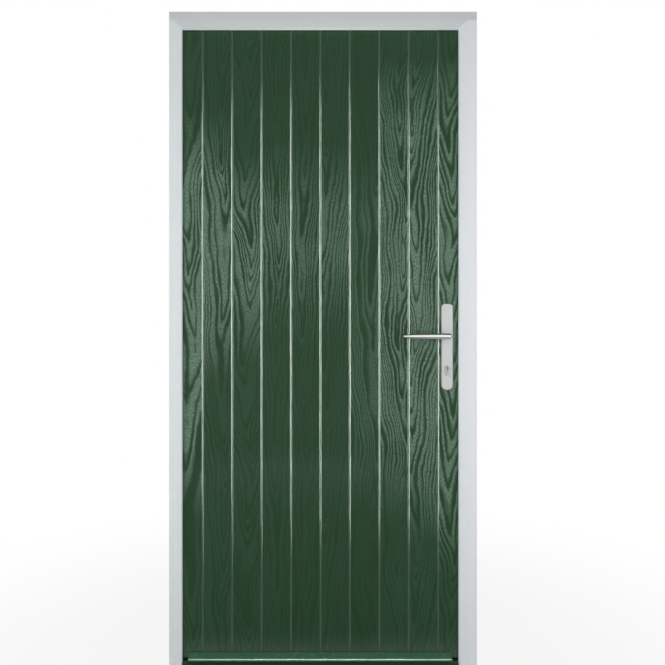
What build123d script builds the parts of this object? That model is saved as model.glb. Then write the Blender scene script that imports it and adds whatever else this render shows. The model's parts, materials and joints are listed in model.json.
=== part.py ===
from build123d import *
import math
import os

# The door stands closed. X runs to the right seen from outside, Y runs indoors and Z up.
# The origin lies on the floor, at the middle of the frame's width and of the leaf's thickness.

# Frame: overall size, the face of each member seen from outside, and the extruded section
FRAME_WIDTH = 955.0
FRAME_HEIGHT = 2040.0
FRAME_DEPTH = 70.0
HINGE_JAMB_FACE = 37.0
LOCK_JAMB_FACE = 54.0
HEAD_FACE = 48.0
BEVEL_WIDTH = 22.5
BEVEL_RISE = 4.0
NOSE_RADIUS = 2.0
PROFILE_WALL = 2.8
STOP_COVER = 10.0
LEAF_GAP = 4.0
LOCK_STEEL_CHAMBER = 16.6
LOCK_WEB = 2.0
STEEL_WALL = 1.5
STEEL_SHORT_OF_END = 40.0

# Fixing holes through the jambs into the wall
FIXING_RADIUS = 5.1
FIXING_FROM_END = 150.0
FIXING_COUNT = 4

# Seals in the stops and under the leaf
SEAL_GAP = 4.0
SEAL_GROOVE_WIDTH = 3.4
SEAL_GROOVE_DEPTH = 5.0
SEAL_BULB_WIDTH = 7.0
LEAF_SEAL_WIDTH = 12.0
LEAF_SEAL_BASE = 2.0
LEAF_SEAL_FIN = 1.6

# Threshold
THRESHOLD_HEIGHT = 16.0
THRESHOLD_NOSE = 5.0
THRESHOLD_RAMP = 20.0
THRESHOLD_BACK_RAMP = 10.0
THRESHOLD_BACK_NOSE = 8.0
THRESHOLD_WALL = 3.0
THRESHOLD_WEB = 14.0
THRESHOLD_CHAMBER = 15.0
THRESHOLD_FIXING_RADIUS = 2.8
THRESHOLD_FIXING_INSET = 142.0
THRESHOLD_COUNTERSINK_RADIUS = 5.2

# Leaf: skins with V-grooves over a timber-edged foam core
LEAF_THICKNESS = 44.0
LEAF_BOTTOM = 22.0
SKIN = 2.2
GROOVE_COUNT = 9
EDGE_PLANK = 72.0
GROOVE_WIDTH = 6.0
GROOVE_DEPTH = 2.0
GROOVE_FLOOR = 1.2
STILE_WIDTH = 64.0
RAIL_HEIGHT = 70.0

# Weather bar along the foot of the outer face
BAR_LEFT_INSET = 30.5
BAR_RIGHT_INSET = 31.5
BAR_BOTTOM = 24.0
BAR_BACK_HEIGHT = 17.0
BAR_DEPTH = 25.0
BAR_TOP_LAND = 3.0
BAR_NOSE_HEIGHT = 4.0
BAR_NOSE_STEP = 2.0
BAR_WALL = 1.8
BAR_CAP_THICKNESS = 1.5

# Hinges on the inner faces
HINGE_FROM_END = 210.0
HINGE_HEIGHT = 100.0
FLAG_THICKNESS = 4.0
KNUCKLE_RADIUS = 9.0
KNUCKLE_STANDOFF = 0.3
KNUCKLE_SIDE_GAP = 0.5
DOOR_KNUCKLE_HEIGHT = 50.0
FLAG_KNUCKLE_CLEARANCE = 1.0
FRAME_FLAG_EDGE = 2.0
DOOR_FLAG_WIDTH = 42.0
FLAG_CORNER_RADIUS = 3.0
PIN_RADIUS = 5.0
PIN_HEAD_RADIUS = 7.5
PIN_HEAD_HEIGHT = 3.0
BUSH_WALL = 1.5
FLAG_SCREW_EDGE = 14.0

# Lock body in the leaf's edge
BACKSET = 45.0
SPINDLE_HEIGHT = 1033.0
CYLINDER_BELOW_SPINDLE = 100.0
FACEPLATE_WIDTH = 20.0
FACEPLATE_THICKNESS = 2.5
FACEPLATE_PAST_UPPER_CASE = 95.0
FACEPLATE_PAST_LOWER_CASE = 66.0
FACEPLATE_SCREW_SPREAD = 110.0
CASE_THICKNESS = 16.0
CASE_WALL = 1.2
CASE_DEPTH = 58.0
CASE_ABOVE_SPINDLE = 42.0
CASE_BELOW_CYLINDER = 38.0
BOLT_THICKNESS = 9.6
BOLT_SIDE_OFFSET = 1.2
BOLT_SLOT_CLEARANCE = 0.5
BOLT_FLUSH = 0.2

# Latch and deadbolt
LATCH_LENGTH = 28.0
LATCH_HEIGHT = 25.0
LATCH_BELOW_SPINDLE = 8.0
LATCH_BEVEL = 8.0
DEADBOLT_LENGTH = 35.0
DEADBOLT_HEIGHT = 30.0
DEADBOLT_BELOW_SPINDLE = 60.0
DEADBOLT_TAIL_WIDTH = 8.0
DEADBOLT_TAIL_THICKNESS = 2.0
DEADBOLT_TAIL_SETBACK = 26.5

# Follower, square spindle and their fits
FOLLOWER_RADIUS = 9.5
FOLLOWER_COLLAR_RADIUS = 7.2
FOLLOWER_ARM_REACH = 15.0
FOLLOWER_ARM_WIDTH = 8.0
FOLLOWER_ARM_THICKNESS = 7.0
SPINDLE_SIZE = 8.0
SPINDLE_SOCKET = 24.0
SPINDLE_HOLE_RADIUS = 8.0

# Drive rail and hooks
RAIL_SETBACK = 24.5
RAIL_WIDTH = 10.0
RAIL_THICKNESS = 2.0
RAIL_PAST_HOOK = 30.0
RAIL_EAR_WIDTH = 16.5
RAIL_EAR_HEIGHT = 18.0
RAIL_CHANNEL_BEHIND = 2.0
UPPER_HOOK_BELOW_LEAF_TOP = 352.0
LOWER_HOOK_ABOVE_LEAF_BOTTOM = 328.0
HOOK_SETBACK = 20.0
HOOK_THICKNESS = 7.0
HOOK_SIDE_OFFSET = 1.5
HOOK_ARM = 38.0
HOOK_HALF_WIDTH = 6.0
HOOK_CLAW = 10.0
HOOK_CLAW_HEIGHT = 8.0
HOOK_HUB_RADIUS = 8.0
HOOK_PIVOT_RADIUS = 3.0
HOOK_PIN_REACH = 14.0
HOOK_PIN_RADIUS = 2.5
HOOK_PIN_LOBE_RADIUS = 4.5
HOOK_PIN_SLOT_CLEARANCE = 0.5
HOOK_THROW_DEGREES = 70.0
HOOK_CASE_DEPTH = 42.0
HOOK_CASE_ABOVE = 55.0
HOOK_CASE_BELOW = 34.0
HOOK_SLOT_ABOVE = 40.0
HOOK_SLOT_BELOW = 1.2

# Keep plates on the lock jamb
KEEP_THICKNESS = 2.0
KEEP_WIDTH = 24.0
KEEP_PAST_SLOT = 20.0
KEEP_SLOT_CLEARANCE = 0.8

# Cylinder with its plug, cam and thumb-turn
CYLINDER_RADIUS = 8.5
CYLINDER_LEG_WIDTH = 10.0
CYLINDER_PROFILE_HEIGHT = 33.0
CYLINDER_PROUD = 2.0
PLUG_RADIUS = 6.5
KEYWAY_WIDTH = 2.4
KEYWAY_HEIGHT = 8.5
KEYWAY_DEPTH = 18.0
CAM_WIDTH = 8.0
CAM_GAP = 9.0
CAM_HUB_RADIUS = 7.5
CAM_REACH = 13.5
CAM_TONGUE = 6.0
CYLINDER_BRIDGE = 9.0
TURN_STEM_RADIUS = 5.0
TURN_STEM_LENGTH = 6.0
TURN_LENGTH = 30.0
TURN_WIDTH = 9.0
TURN_DEPTH = 14.0
TURN_EDGE_RADIUS = 3.0

# Handle plates and levers
PLATE_WIDTH = 38.0
PLATE_ABOVE_SPINDLE = 103.0
PLATE_BELOW_SPINDLE = 170.0
PLATE_THICKNESS = 9.0
PLATE_TOP_RADIUS = 12.0
PLATE_BOTTOM_RADIUS = 17.0
PLATE_EDGE_RADIUS = 3.5
HANDLE_SCREW_ABOVE_SPINDLE = 70.0
HANDLE_SCREW_CENTRES = 215.0
HANDLE_SCREW_DEPTH = 7.0
NECK_RADIUS = 9.0
LEVER_STANDOFF = 32.0
LEVER_LENGTH = 141.0
LEVER_RADIUS = 10.0
LEVER_BELLY_SHARE = 0.9
LEVER_WAIST_SHARE = 0.76
LEVER_SHOULDER_SHARE = 0.52
LEVER_STATION_SHARES = (0.45, 0.78, 0.93)

# Screws: radius of the shank and of the countersunk head, height of the head and length
FLAG_SCREW = (2.4, 4.6, 2.6, 18.0)
LONG_FLAG_SCREW = (2.4, 4.6, 2.6, 32.0)
KEEP_SCREW = (1.9, 3.6, 1.6, 14.0)
FACEPLATE_SCREW = (2.0, 3.8, 2.0, 44.0)
HANDLE_SCREW = (2.4, 4.4, 2.4, 0.0)
CYLINDER_SCREW = (2.4, 4.4, 2.4, 0.0)
SCREW_SLOT_WIDTH = 1.0
SCREW_SLOT_DEPTH = 1.0

# Clearances shared by every fit, and the overrun of every cut
SEAT = 0.3
RUNNING = 0.05
SCREW_FIT = 0.1
OVERRUN = 5.0

QUARTER = 90.0
LOW = (Align.MIN, Align.MIN, Align.MIN)
ON_END = (Align.CENTER, Align.CENTER, Align.MIN)

# Places worked out from the sizes above
LEAF_OUT_Y = -LEAF_THICKNESS / 2
LEAF_IN_Y = LEAF_THICKNESS / 2
BACK_Y = LEAF_IN_Y
FACE_Y = BACK_Y - FRAME_DEPTH
STOP_Y = LEAF_OUT_Y - SEAL_GAP
LEFT_X = -FRAME_WIDTH / 2
RIGHT_X = FRAME_WIDTH / 2
OPENING_LEFT = LEFT_X + HINGE_JAMB_FACE
OPENING_RIGHT = RIGHT_X - LOCK_JAMB_FACE
OPENING_TOP = FRAME_HEIGHT - HEAD_FACE
LEAF_LEFT = OPENING_LEFT - STOP_COVER
LEAF_RIGHT = OPENING_RIGHT + STOP_COVER
LEAF_TOP = OPENING_TOP + STOP_COVER
REBATE_LEFT = LEAF_LEFT - LEAF_GAP
REBATE_RIGHT = LEAF_RIGHT + LEAF_GAP
REBATE_TOP = LEAF_TOP + LEAF_GAP
GROOVE_PITCH = (LEAF_RIGHT - LEAF_LEFT - 2 * EDGE_PLANK) / (GROOVE_COUNT - 1)
CHAMBER_FRONT_Y = STOP_Y - SEAL_GROOVE_DEPTH
CHAMBER_BACK_Y = BACK_Y - PROFILE_WALL
FIXING_Y = (CHAMBER_FRONT_Y + CHAMBER_BACK_Y) / 2
FIXING_PITCH = (FRAME_HEIGHT - 2 * FIXING_FROM_END) / (FIXING_COUNT - 1)
FIXING_HEIGHTS = [FIXING_FROM_END + i * FIXING_PITCH for i in range(FIXING_COUNT)]
HINGE_X = (LEAF_LEFT + REBATE_LEFT) / 2
HINGE_Y = BACK_Y + KNUCKLE_STANDOFF + KNUCKLE_RADIUS
HINGE_LOW = LEAF_BOTTOM + HINGE_FROM_END
HINGE_HIGH = LEAF_TOP - HINGE_FROM_END
HINGE_HEIGHTS = {"bottom": HINGE_LOW, "middle": (HINGE_LOW + HINGE_HIGH) / 2, "top": HINGE_HIGH}
FRAME_FLAG_START = LEFT_X + FRAME_FLAG_EDGE
FRAME_FLAG_END = HINGE_X - KNUCKLE_RADIUS - FLAG_KNUCKLE_CLEARANCE
DOOR_FLAG_START = HINGE_X + KNUCKLE_RADIUS + FLAG_KNUCKLE_CLEARANCE
DOOR_FLAG_END = LEAF_LEFT + DOOR_FLAG_WIDTH
BARREL_HALF = HINGE_HEIGHT / 2 - FLAG_CORNER_RADIUS
BUSH_RADIUS = PIN_RADIUS + RUNNING + BUSH_WALL
SPINDLE_X = LEAF_RIGHT - BACKSET
CYLINDER_HEIGHT = SPINDLE_HEIGHT - CYLINDER_BELOW_SPINDLE
FACEPLATE_BACK = LEAF_RIGHT - FACEPLATE_THICKNESS
CASE_BACK = FACEPLATE_BACK - CASE_DEPTH
CASE_TOP = SPINDLE_HEIGHT + CASE_ABOVE_SPINDLE
CASE_BOTTOM = CYLINDER_HEIGHT - CASE_BELOW_CYLINDER
CASE_INSIDE_Y = CASE_THICKNESS / 2 - CASE_WALL
BOLT_NEAR_Y = -BOLT_THICKNESS / 2 - BOLT_SIDE_OFFSET
BOLT_FAR_Y = BOLT_THICKNESS / 2 - BOLT_SIDE_OFFSET
LATCH_BOTTOM = SPINDLE_HEIGHT - LATCH_BELOW_SPINDLE
DEADBOLT_BOTTOM = SPINDLE_HEIGHT - DEADBOLT_BELOW_SPINDLE
UPPER_HOOK_HEIGHT = LEAF_TOP - UPPER_HOOK_BELOW_LEAF_TOP
LOWER_HOOK_HEIGHT = LEAF_BOTTOM + LOWER_HOOK_ABOVE_LEAF_BOTTOM
FACEPLATE_TOP = UPPER_HOOK_HEIGHT + HOOK_CASE_ABOVE + FACEPLATE_PAST_UPPER_CASE
FACEPLATE_BOTTOM = LOWER_HOOK_HEIGHT - HOOK_CASE_BELOW - FACEPLATE_PAST_LOWER_CASE
HOOK_X = LEAF_RIGHT - HOOK_SETBACK
HOOK_NEAR_Y = -HOOK_THICKNESS / 2 - HOOK_SIDE_OFFSET
HOOK_FAR_Y = HOOK_THICKNESS / 2 - HOOK_SIDE_OFFSET
HOOK_HEIGHTS = {"upper": UPPER_HOOK_HEIGHT, "lower": LOWER_HOOK_HEIGHT}
HOOK_PIN_X = HOOK_X - HOOK_PIN_REACH * math.cos(math.radians(HOOK_THROW_DEGREES / 2))
HOOK_PIN_DROP = HOOK_PIN_REACH * math.sin(math.radians(HOOK_THROW_DEGREES / 2))
RAIL_NEAR_X = LEAF_RIGHT - RAIL_SETBACK
RAIL_FAR_X = RAIL_NEAR_X - RAIL_WIDTH
RAIL_FAR_Y = CASE_INSIDE_Y - SEAT
RAIL_NEAR_Y = RAIL_FAR_Y - RAIL_THICKNESS
KEEP_FACE = REBATE_RIGHT - KEEP_THICKNESS
PLATE_OUT_Y = LEAF_OUT_Y - PLATE_THICKNESS
PLATE_IN_Y = LEAF_IN_Y + PLATE_THICKNESS
LEVER_Y = PLATE_OUT_Y - LEVER_STANDOFF
HANDLE_SCREW_TOP = SPINDLE_HEIGHT + HANDLE_SCREW_ABOVE_SPINDLE
HANDLE_SCREW_HEIGHTS = (HANDLE_SCREW_TOP, HANDLE_SCREW_TOP - HANDLE_SCREW_CENTRES)
CYLINDER_OUT_Y = PLATE_OUT_Y - CYLINDER_PROUD
CYLINDER_IN_Y = PLATE_IN_Y + CYLINDER_PROUD
LEG_RADIUS = CYLINDER_LEG_WIDTH / 2
LEG_CENTRE = CYLINDER_HEIGHT + CYLINDER_RADIUS - CYLINDER_PROFILE_HEIGHT + LEG_RADIUS


def block(x0, x1, y0, y1, z0, z1):
    """A box between six limits."""
    return Pos(x0, y0, z0) * Box(x1 - x0, y1 - y0, z1 - z0, align=LOW)


def rod_x(radius, x0, x1, y, z):
    """A round bar along X."""
    return Pos(x0, y, z) * Rot(0, QUARTER, 0) * Cylinder(radius, x1 - x0, align=ON_END)


def rod_y(radius, y0, y1, x, z):
    """A round bar along Y."""
    return Pos(x, y0, z) * Rot(-QUARTER, 0, 0) * Cylinder(radius, y1 - y0, align=ON_END)


def rod_z(radius, z0, z1, x, y):
    """A round bar along Z."""
    return Pos(x, y, z0) * Cylinder(radius, z1 - z0, align=ON_END)


def patch(u0, u1, v0, v1):
    """A rectangle between four limits in its own plane."""
    return Pos(u0, v0) * Rectangle(u1 - u0, v1 - v0, align=LOW[:2])


def prism_x(shape, x0, x1):
    """A flat shape drawn in Y and Z, carried along X."""
    return extrude(Plane(origin=(x0, 0, 0), x_dir=(0, 1, 0), z_dir=(1, 0, 0)) * shape, x1 - x0)


def prism_y(shape, y0, y1):
    """A flat shape drawn in X and Z, carried along Y."""
    upright = Plane(origin=(0, y1, 0), x_dir=(1, 0, 0), z_dir=(0, -1, 0))
    return extrude(upright * shape, y1 - y0)


def prism_z(shape, z0, z1):
    """A flat shape drawn in X and Y, carried along Z."""
    return extrude(Pos(0, 0, z0) * shape, z1 - z0)


def outline(*points):
    """A flat face inside a closed line through the points."""
    return make_face(Polyline(*points, close=True))


def screw_plane(origin, direction):
    """The plane of a screw's head, with its normal along the shank."""
    return Plane(origin=origin, z_dir=direction)


def screw(size, plane, length=0):
    """A countersunk screw with a slotted head flush with its plane."""
    shank, head, head_height, own_length = size
    body = Cylinder(shank, length or own_length, align=ON_END)
    body += Cone(head, shank, head_height, align=ON_END)
    body -= Box(2 * head, SCREW_SLOT_WIDTH, SCREW_SLOT_DEPTH, align=ON_END)
    return plane * body


def screw_hole(size, plane, length=0):
    """The hole that such a screw sits in, open above its head."""
    shank, head, head_height, own_length = size
    hole = Cylinder(shank + SCREW_FIT, (length or own_length) + SCREW_FIT, align=ON_END)
    hole += Cone(head + SCREW_FIT, shank + SCREW_FIT, head_height + SCREW_FIT, align=ON_END)
    hole += Pos(0, 0, -OVERRUN) * Cylinder(head + SCREW_FIT, OVERRUN, align=ON_END)
    return plane * hole


# Frame members
def rebate_of(face):
    """Distance from a member's outer side to its rebate wall."""
    return face - STOP_COVER - LEAF_GAP


def steel_chambers(face):
    """The one main chamber of a member that has no keeps."""
    return [(PROFILE_WALL, rebate_of(face) - PROFILE_WALL)]


def lock_chambers(face):
    """The lock jamb's steel chamber and the keep chamber beside it."""
    steel_end = PROFILE_WALL + LOCK_STEEL_CHAMBER
    return [(PROFILE_WALL, steel_end), (steel_end + LOCK_WEB, rebate_of(face) - PROFILE_WALL)]


def frame_outline(face):
    """A frame member's filled section, from its outer side towards the opening."""
    rebate = rebate_of(face)
    profile = outline(
        (0, FACE_Y),
        (face - BEVEL_WIDTH, FACE_Y),
        (face, FACE_Y + BEVEL_RISE),
        (face, STOP_Y),
        (rebate, STOP_Y),
        (rebate, BACK_Y),
        (0, BACK_Y),
    )
    nose = [v for v in profile.vertices() if v.X > face - NOSE_RADIUS]
    return fillet(nose, NOSE_RADIUS)


def seal_groove(face):
    """The groove in the back of a member's stop."""
    middle = face - STOP_COVER / 2
    half = SEAL_GROOVE_WIDTH / 2
    return patch(middle - half, middle + half, CHAMBER_FRONT_Y, STOP_Y)


def front_hollow(face):
    """The chamber behind a member's face."""
    front_y = FACE_Y + BEVEL_RISE + PROFILE_WALL
    return patch(PROFILE_WALL, face - PROFILE_WALL, front_y, CHAMBER_FRONT_Y - PROFILE_WALL)


def main_hollows(chambers):
    """The chambers behind the stop."""
    return [patch(start, end, CHAMBER_FRONT_Y, CHAMBER_BACK_Y) for start, end in chambers]


def steel_section(start, end):
    """A steel tube that fills a chamber with a small clearance."""
    low_y = CHAMBER_FRONT_Y + SEAT
    high_y = CHAMBER_BACK_Y - SEAT
    tube = patch(start + SEAT, end - SEAT, low_y, high_y)
    inset = SEAT + STEEL_WALL
    return tube - patch(start + inset, end - inset, low_y + STEEL_WALL, high_y - STEEL_WALL)


def seal_section(face):
    """A seal with its foot in the groove and a round bulb behind the stop."""
    middle = face - STOP_COVER / 2
    foot = SEAL_GROOVE_WIDTH / 2 - SEAT / 2
    bulb = SEAL_BULB_WIDTH / 2
    crown = STOP_Y + SEAL_GAP - SEAT
    arc = ThreePointArc((middle - bulb, STOP_Y), (middle, crown), (middle + bulb, STOP_Y))
    head = make_face([arc, Line((middle + bulb, STOP_Y), (middle - bulb, STOP_Y))])
    return head + patch(middle - foot, middle + foot, CHAMBER_FRONT_Y + SEAT, STOP_Y)


def along_hinge_jamb(shape, z0, z1):
    """A section carried up the hinge jamb."""
    return extrude(Plane(origin=(LEFT_X, 0, z0), x_dir=(1, 0, 0), z_dir=(0, 0, 1)) * shape, z1 - z0)


def along_lock_jamb(shape, z0, z1):
    """A section carried down the lock jamb."""
    return extrude(Plane(origin=(RIGHT_X, 0, z1), x_dir=(-1, 0, 0), z_dir=(0, 0, -1)) * shape, z1 - z0)


def along_head(shape, x0, x1):
    """A section carried along the head."""
    start = Plane(origin=(x0, 0, FRAME_HEIGHT), x_dir=(0, 0, -1), z_dir=(1, 0, 0))
    return extrude(start * shape, x1 - x0)


def jamb_fixings(x0, x1):
    """The fixing holes through one jamb."""
    return [rod_x(FIXING_RADIUS, x0 - OVERRUN, x1 + OVERRUN, FIXING_Y, z) for z in FIXING_HEIGHTS]


def jamb(along, face, chambers, head):
    """A jamb from the floor up, scribed to the underside of the head."""
    section = frame_outline(face) - [front_hollow(face), seal_groove(face)] - main_hollows(chambers)
    return along(section, 0, FRAME_HEIGHT) - head


def frame_head(head):
    """The head, closed at its ends and open down into the jambs' chambers."""
    left = LEFT_X + PROFILE_WALL
    right = RIGHT_X - PROFILE_WALL
    hollows = [front_hollow(HEAD_FACE)] + main_hollows(steel_chambers(HEAD_FACE))
    head -= [along_head(hollow, left, right) for hollow in hollows]
    head -= along_head(seal_groove(HEAD_FACE), REBATE_LEFT, REBATE_RIGHT)
    front_top = OPENING_TOP + PROFILE_WALL + OVERRUN
    main_top = REBATE_TOP + PROFILE_WALL + OVERRUN
    jambs = (
        (along_hinge_jamb, HINGE_JAMB_FACE, steel_chambers(HINGE_JAMB_FACE)),
        (along_lock_jamb, LOCK_JAMB_FACE, lock_chambers(LOCK_JAMB_FACE)),
    )
    for along, face, chambers in jambs:
        head -= along(front_hollow(face), OPENING_TOP - OVERRUN, front_top)
        head -= [along(hollow, REBATE_TOP - OVERRUN, main_top) for hollow in main_hollows(chambers)]
    return head


def parted_at_stop(member):
    """A frame member as two pieces: its face with the stop, and what lies behind the stop."""
    low_y = FACE_Y - OVERRUN
    top = FRAME_HEIGHT + OVERRUN
    front = block(LEFT_X - OVERRUN, RIGHT_X + OVERRUN, low_y, STOP_Y, -OVERRUN, top)
    return member & front, member - front


def frame_members():
    """The jambs, the head, their steel and their seals."""
    hinge_steel = steel_chambers(HINGE_JAMB_FACE)
    lock_steel = lock_chambers(LOCK_JAMB_FACE)
    head_steel = steel_chambers(HEAD_FACE)
    hinge_holes = jamb_fixings(LEFT_X, REBATE_LEFT)
    lock_holes = jamb_fixings(REBATE_RIGHT, RIGHT_X)
    steel_low = STEEL_SHORT_OF_END
    steel_high = OPENING_TOP - STEEL_SHORT_OF_END
    seal_low = THRESHOLD_HEIGHT + SEAT
    seal_high = OPENING_TOP - SEAT
    head = along_head(frame_outline(HEAD_FACE), LEFT_X, RIGHT_X)
    made = {}
    made["hinge_jamb"] = jamb(along_hinge_jamb, HINGE_JAMB_FACE, hinge_steel, head) - hinge_holes
    made["lock_jamb"] = jamb(along_lock_jamb, LOCK_JAMB_FACE, lock_steel, head) - lock_holes
    made["frame_head"] = frame_head(head)
    hinge_tube = along_hinge_jamb(steel_section(*hinge_steel[0]), steel_low, steel_high)
    made["hinge_jamb_steel"] = hinge_tube - hinge_holes
    lock_tube = along_lock_jamb(steel_section(*lock_steel[0]), steel_low, steel_high)
    made["lock_jamb_steel"] = lock_tube - lock_holes
    steel_left = OPENING_LEFT + STEEL_SHORT_OF_END
    steel_right = OPENING_RIGHT - STEEL_SHORT_OF_END
    made["head_steel"] = along_head(steel_section(*head_steel[0]), steel_left, steel_right)
    made["hinge_jamb_seal"] = along_hinge_jamb(seal_section(HINGE_JAMB_FACE), seal_low, seal_high)
    made["lock_jamb_seal"] = along_lock_jamb(seal_section(LOCK_JAMB_FACE), seal_low, seal_high)
    made["head_seal"] = along_head(seal_section(HEAD_FACE), REBATE_LEFT + SEAT, REBATE_RIGHT - SEAT)
    return made


def threshold():
    """The ramped threshold between the jambs, notched around their stops."""
    web_y = (STOP_Y + BACK_Y) / 2
    profile = outline(
        (FACE_Y, 0),
        (FACE_Y, THRESHOLD_NOSE),
        (FACE_Y + THRESHOLD_RAMP, THRESHOLD_HEIGHT),
        (BACK_Y - THRESHOLD_BACK_RAMP, THRESHOLD_HEIGHT),
        (BACK_Y, THRESHOLD_BACK_NOSE),
        (BACK_Y, 0),
    )
    high = THRESHOLD_HEIGHT - THRESHOLD_WALL
    for side in (-1, 1):
        inner = web_y + side * THRESHOLD_WEB / 2
        outer = inner + side * THRESHOLD_CHAMBER
        profile -= patch(min(inner, outer), max(inner, outer), THRESHOLD_WALL, high)
    body = prism_x(profile, REBATE_LEFT + SEAT, REBATE_RIGHT - SEAT)
    low_y = FACE_Y - OVERRUN
    stop_y = STOP_Y + SEAT
    top = THRESHOLD_HEIGHT + OVERRUN
    body -= block(REBATE_LEFT - OVERRUN, OPENING_LEFT + SEAT, low_y, stop_y, -OVERRUN, top)
    body -= block(OPENING_RIGHT - SEAT, REBATE_RIGHT + OVERRUN, low_y, stop_y, -OVERRUN, top)
    sink = THRESHOLD_COUNTERSINK_RADIUS - THRESHOLD_FIXING_RADIUS
    for x in (LEAF_LEFT + THRESHOLD_FIXING_INSET, LEAF_RIGHT - THRESHOLD_FIXING_INSET):
        body -= rod_z(THRESHOLD_FIXING_RADIUS, -OVERRUN, top, x, web_y)
        cone = Cone(THRESHOLD_FIXING_RADIUS, THRESHOLD_COUNTERSINK_RADIUS, sink, align=ON_END)
        body -= Pos(x, web_y, THRESHOLD_HEIGHT - sink) * cone
    return body


# Leaf
def groove_line(depth):
    """The outer face's line across the leaf, moved in by a depth, with every groove in it."""
    run = (GROOVE_WIDTH - GROOVE_FLOOR) / 2
    spread = depth * math.tan(math.atan2(GROOVE_DEPTH, run) / 2)
    mouth = GROOVE_WIDTH / 2 + spread
    floor = GROOVE_FLOOR / 2 + spread
    y = LEAF_OUT_Y + depth
    points = [(LEAF_LEFT, y)]
    for i in range(GROOVE_COUNT):
        x = LEAF_LEFT + EDGE_PLANK + i * GROOVE_PITCH
        points += [(x - mouth, y), (x - floor, y + GROOVE_DEPTH)]
        points += [(x + floor, y + GROOVE_DEPTH), (x + mouth, y)]
    return points + [(LEAF_RIGHT, y)]


def core_block(x0, x1, z0, z1):
    """A part of the leaf's filling between the two skins."""
    front = groove_line(SKIN)
    back = [(x, -y) for x, y in reversed(front)]
    filling = outline(*front, *back) & patch(x0, x1, LEAF_OUT_Y, LEAF_IN_Y)
    return prism_z(filling, z0, z1)


def euro_profile(grow=0):
    """The cylinder's section: a round head over a narrower leg."""
    shape = Pos(SPINDLE_X, CYLINDER_HEIGHT) * Circle(CYLINDER_RADIUS + grow)
    shape += Pos(SPINDLE_X, LEG_CENTRE) * Circle(LEG_RADIUS + grow)
    half = LEG_RADIUS + grow
    return shape + patch(SPINDLE_X - half, SPINDLE_X + half, LEG_CENTRE, CYLINDER_HEIGHT)


def through_leaf():
    """The holes for spindle, cylinder and handle screws, right through the leaf."""
    low_y = LEAF_OUT_Y - OVERRUN
    high_y = LEAF_IN_Y + OVERRUN
    holes = [rod_y(SPINDLE_HOLE_RADIUS, low_y, high_y, SPINDLE_X, SPINDLE_HEIGHT)]
    holes.append(prism_y(euro_profile(SEAT), low_y, high_y))
    radius = HANDLE_SCREW[0] + SEAT
    holes += [rod_y(radius, low_y, high_y, SPINDLE_X, z) for z in HANDLE_SCREW_HEIGHTS]
    return holes


def lock_mortises():
    """The recess, channel and pockets that the lock takes up in the lock stile."""
    half = CASE_THICKNESS / 2 + SEAT
    plate_half = FACEPLATE_WIDTH / 2 + SCREW_FIT
    edge = LEAF_RIGHT + OVERRUN
    low = FACEPLATE_BOTTOM - SCREW_FIT
    high = FACEPLATE_TOP + SCREW_FIT
    cuts = [block(FACEPLATE_BACK, edge, -plate_half, plate_half, low, high)]
    rail_low = LOWER_HOOK_HEIGHT - HOOK_CASE_BELOW
    rail_high = UPPER_HOOK_HEIGHT + HOOK_CASE_ABOVE
    channel = RAIL_FAR_X - RAIL_CHANNEL_BEHIND
    cuts.append(block(channel, edge, -half, half, rail_low, rail_high))
    back = CASE_BACK - SEAT
    cuts.append(block(back, edge, -half, half, CASE_BOTTOM - SEAT, CASE_TOP + SEAT))
    hook_back = FACEPLATE_BACK - HOOK_CASE_DEPTH - SEAT
    below = HOOK_CASE_BELOW + SEAT
    above = HOOK_CASE_ABOVE + SEAT
    for z in HOOK_HEIGHTS.values():
        cuts.append(block(hook_back, edge, -half, half, z - below, z + above))
    return cuts


def leaf_body():
    """The skins, the foam core and the timber around it."""
    holes = through_leaf()
    face = groove_line(0)
    back = groove_line(SKIN)
    outer = outline(*face, *reversed(back))
    inner = outline(*[(x, -y) for x, y in face], *[(x, -y) for x, y in reversed(back)])
    left = LEAF_LEFT + STILE_WIDTH
    right = LEAF_RIGHT - STILE_WIDTH
    low = LEAF_BOTTOM + RAIL_HEIGHT
    high = LEAF_TOP - RAIL_HEIGHT
    made = {}
    made["outer_skin"] = prism_z(outer, LEAF_BOTTOM, LEAF_TOP) - holes
    made["inner_skin"] = prism_z(inner, LEAF_BOTTOM, LEAF_TOP) - holes
    made["foam_core"] = core_block(left, right, low, high)
    made["hinge_stile"] = core_block(LEAF_LEFT, left, LEAF_BOTTOM, LEAF_TOP)
    made["lock_stile"] = core_block(right, LEAF_RIGHT, LEAF_BOTTOM, LEAF_TOP) - lock_mortises() - holes
    made["top_rail"] = core_block(left, right, high, LEAF_TOP)
    made["bottom_rail"] = core_block(left, right, LEAF_BOTTOM, low)
    return made


def bar_outline(inset):
    """The weather bar's section, moved in from its outside by an inset."""
    top = BAR_BOTTOM + BAR_BACK_HEIGHT - inset
    nose_y = LEAF_OUT_Y - BAR_DEPTH + inset
    nose_top = BAR_BOTTOM + BAR_NOSE_HEIGHT
    back_y = LEAF_OUT_Y - inset
    bottom = BAR_BOTTOM + inset
    return outline(
        (back_y, bottom),
        (back_y, top),
        (LEAF_OUT_Y - BAR_TOP_LAND, top),
        (nose_y + BAR_NOSE_STEP, nose_top + BAR_NOSE_STEP - inset),
        (nose_y, nose_top - inset / 2),
        (nose_y, bottom),
    )


def weather_bar():
    """The hollow bar that throws rain clear of the threshold, and its two end caps."""
    left = LEAF_LEFT + BAR_LEFT_INSET
    right = LEAF_RIGHT - BAR_RIGHT_INSET
    inner_left = left + BAR_CAP_THICKNESS
    inner_right = right - BAR_CAP_THICKNESS
    solid = bar_outline(0)
    bar = prism_x(solid - bar_outline(BAR_WALL), inner_left, inner_right)
    caps = [prism_x(solid, left, inner_left), prism_x(solid, inner_right, right)]
    return {"weather_bar": bar, "weather_bar_caps": caps}


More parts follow.
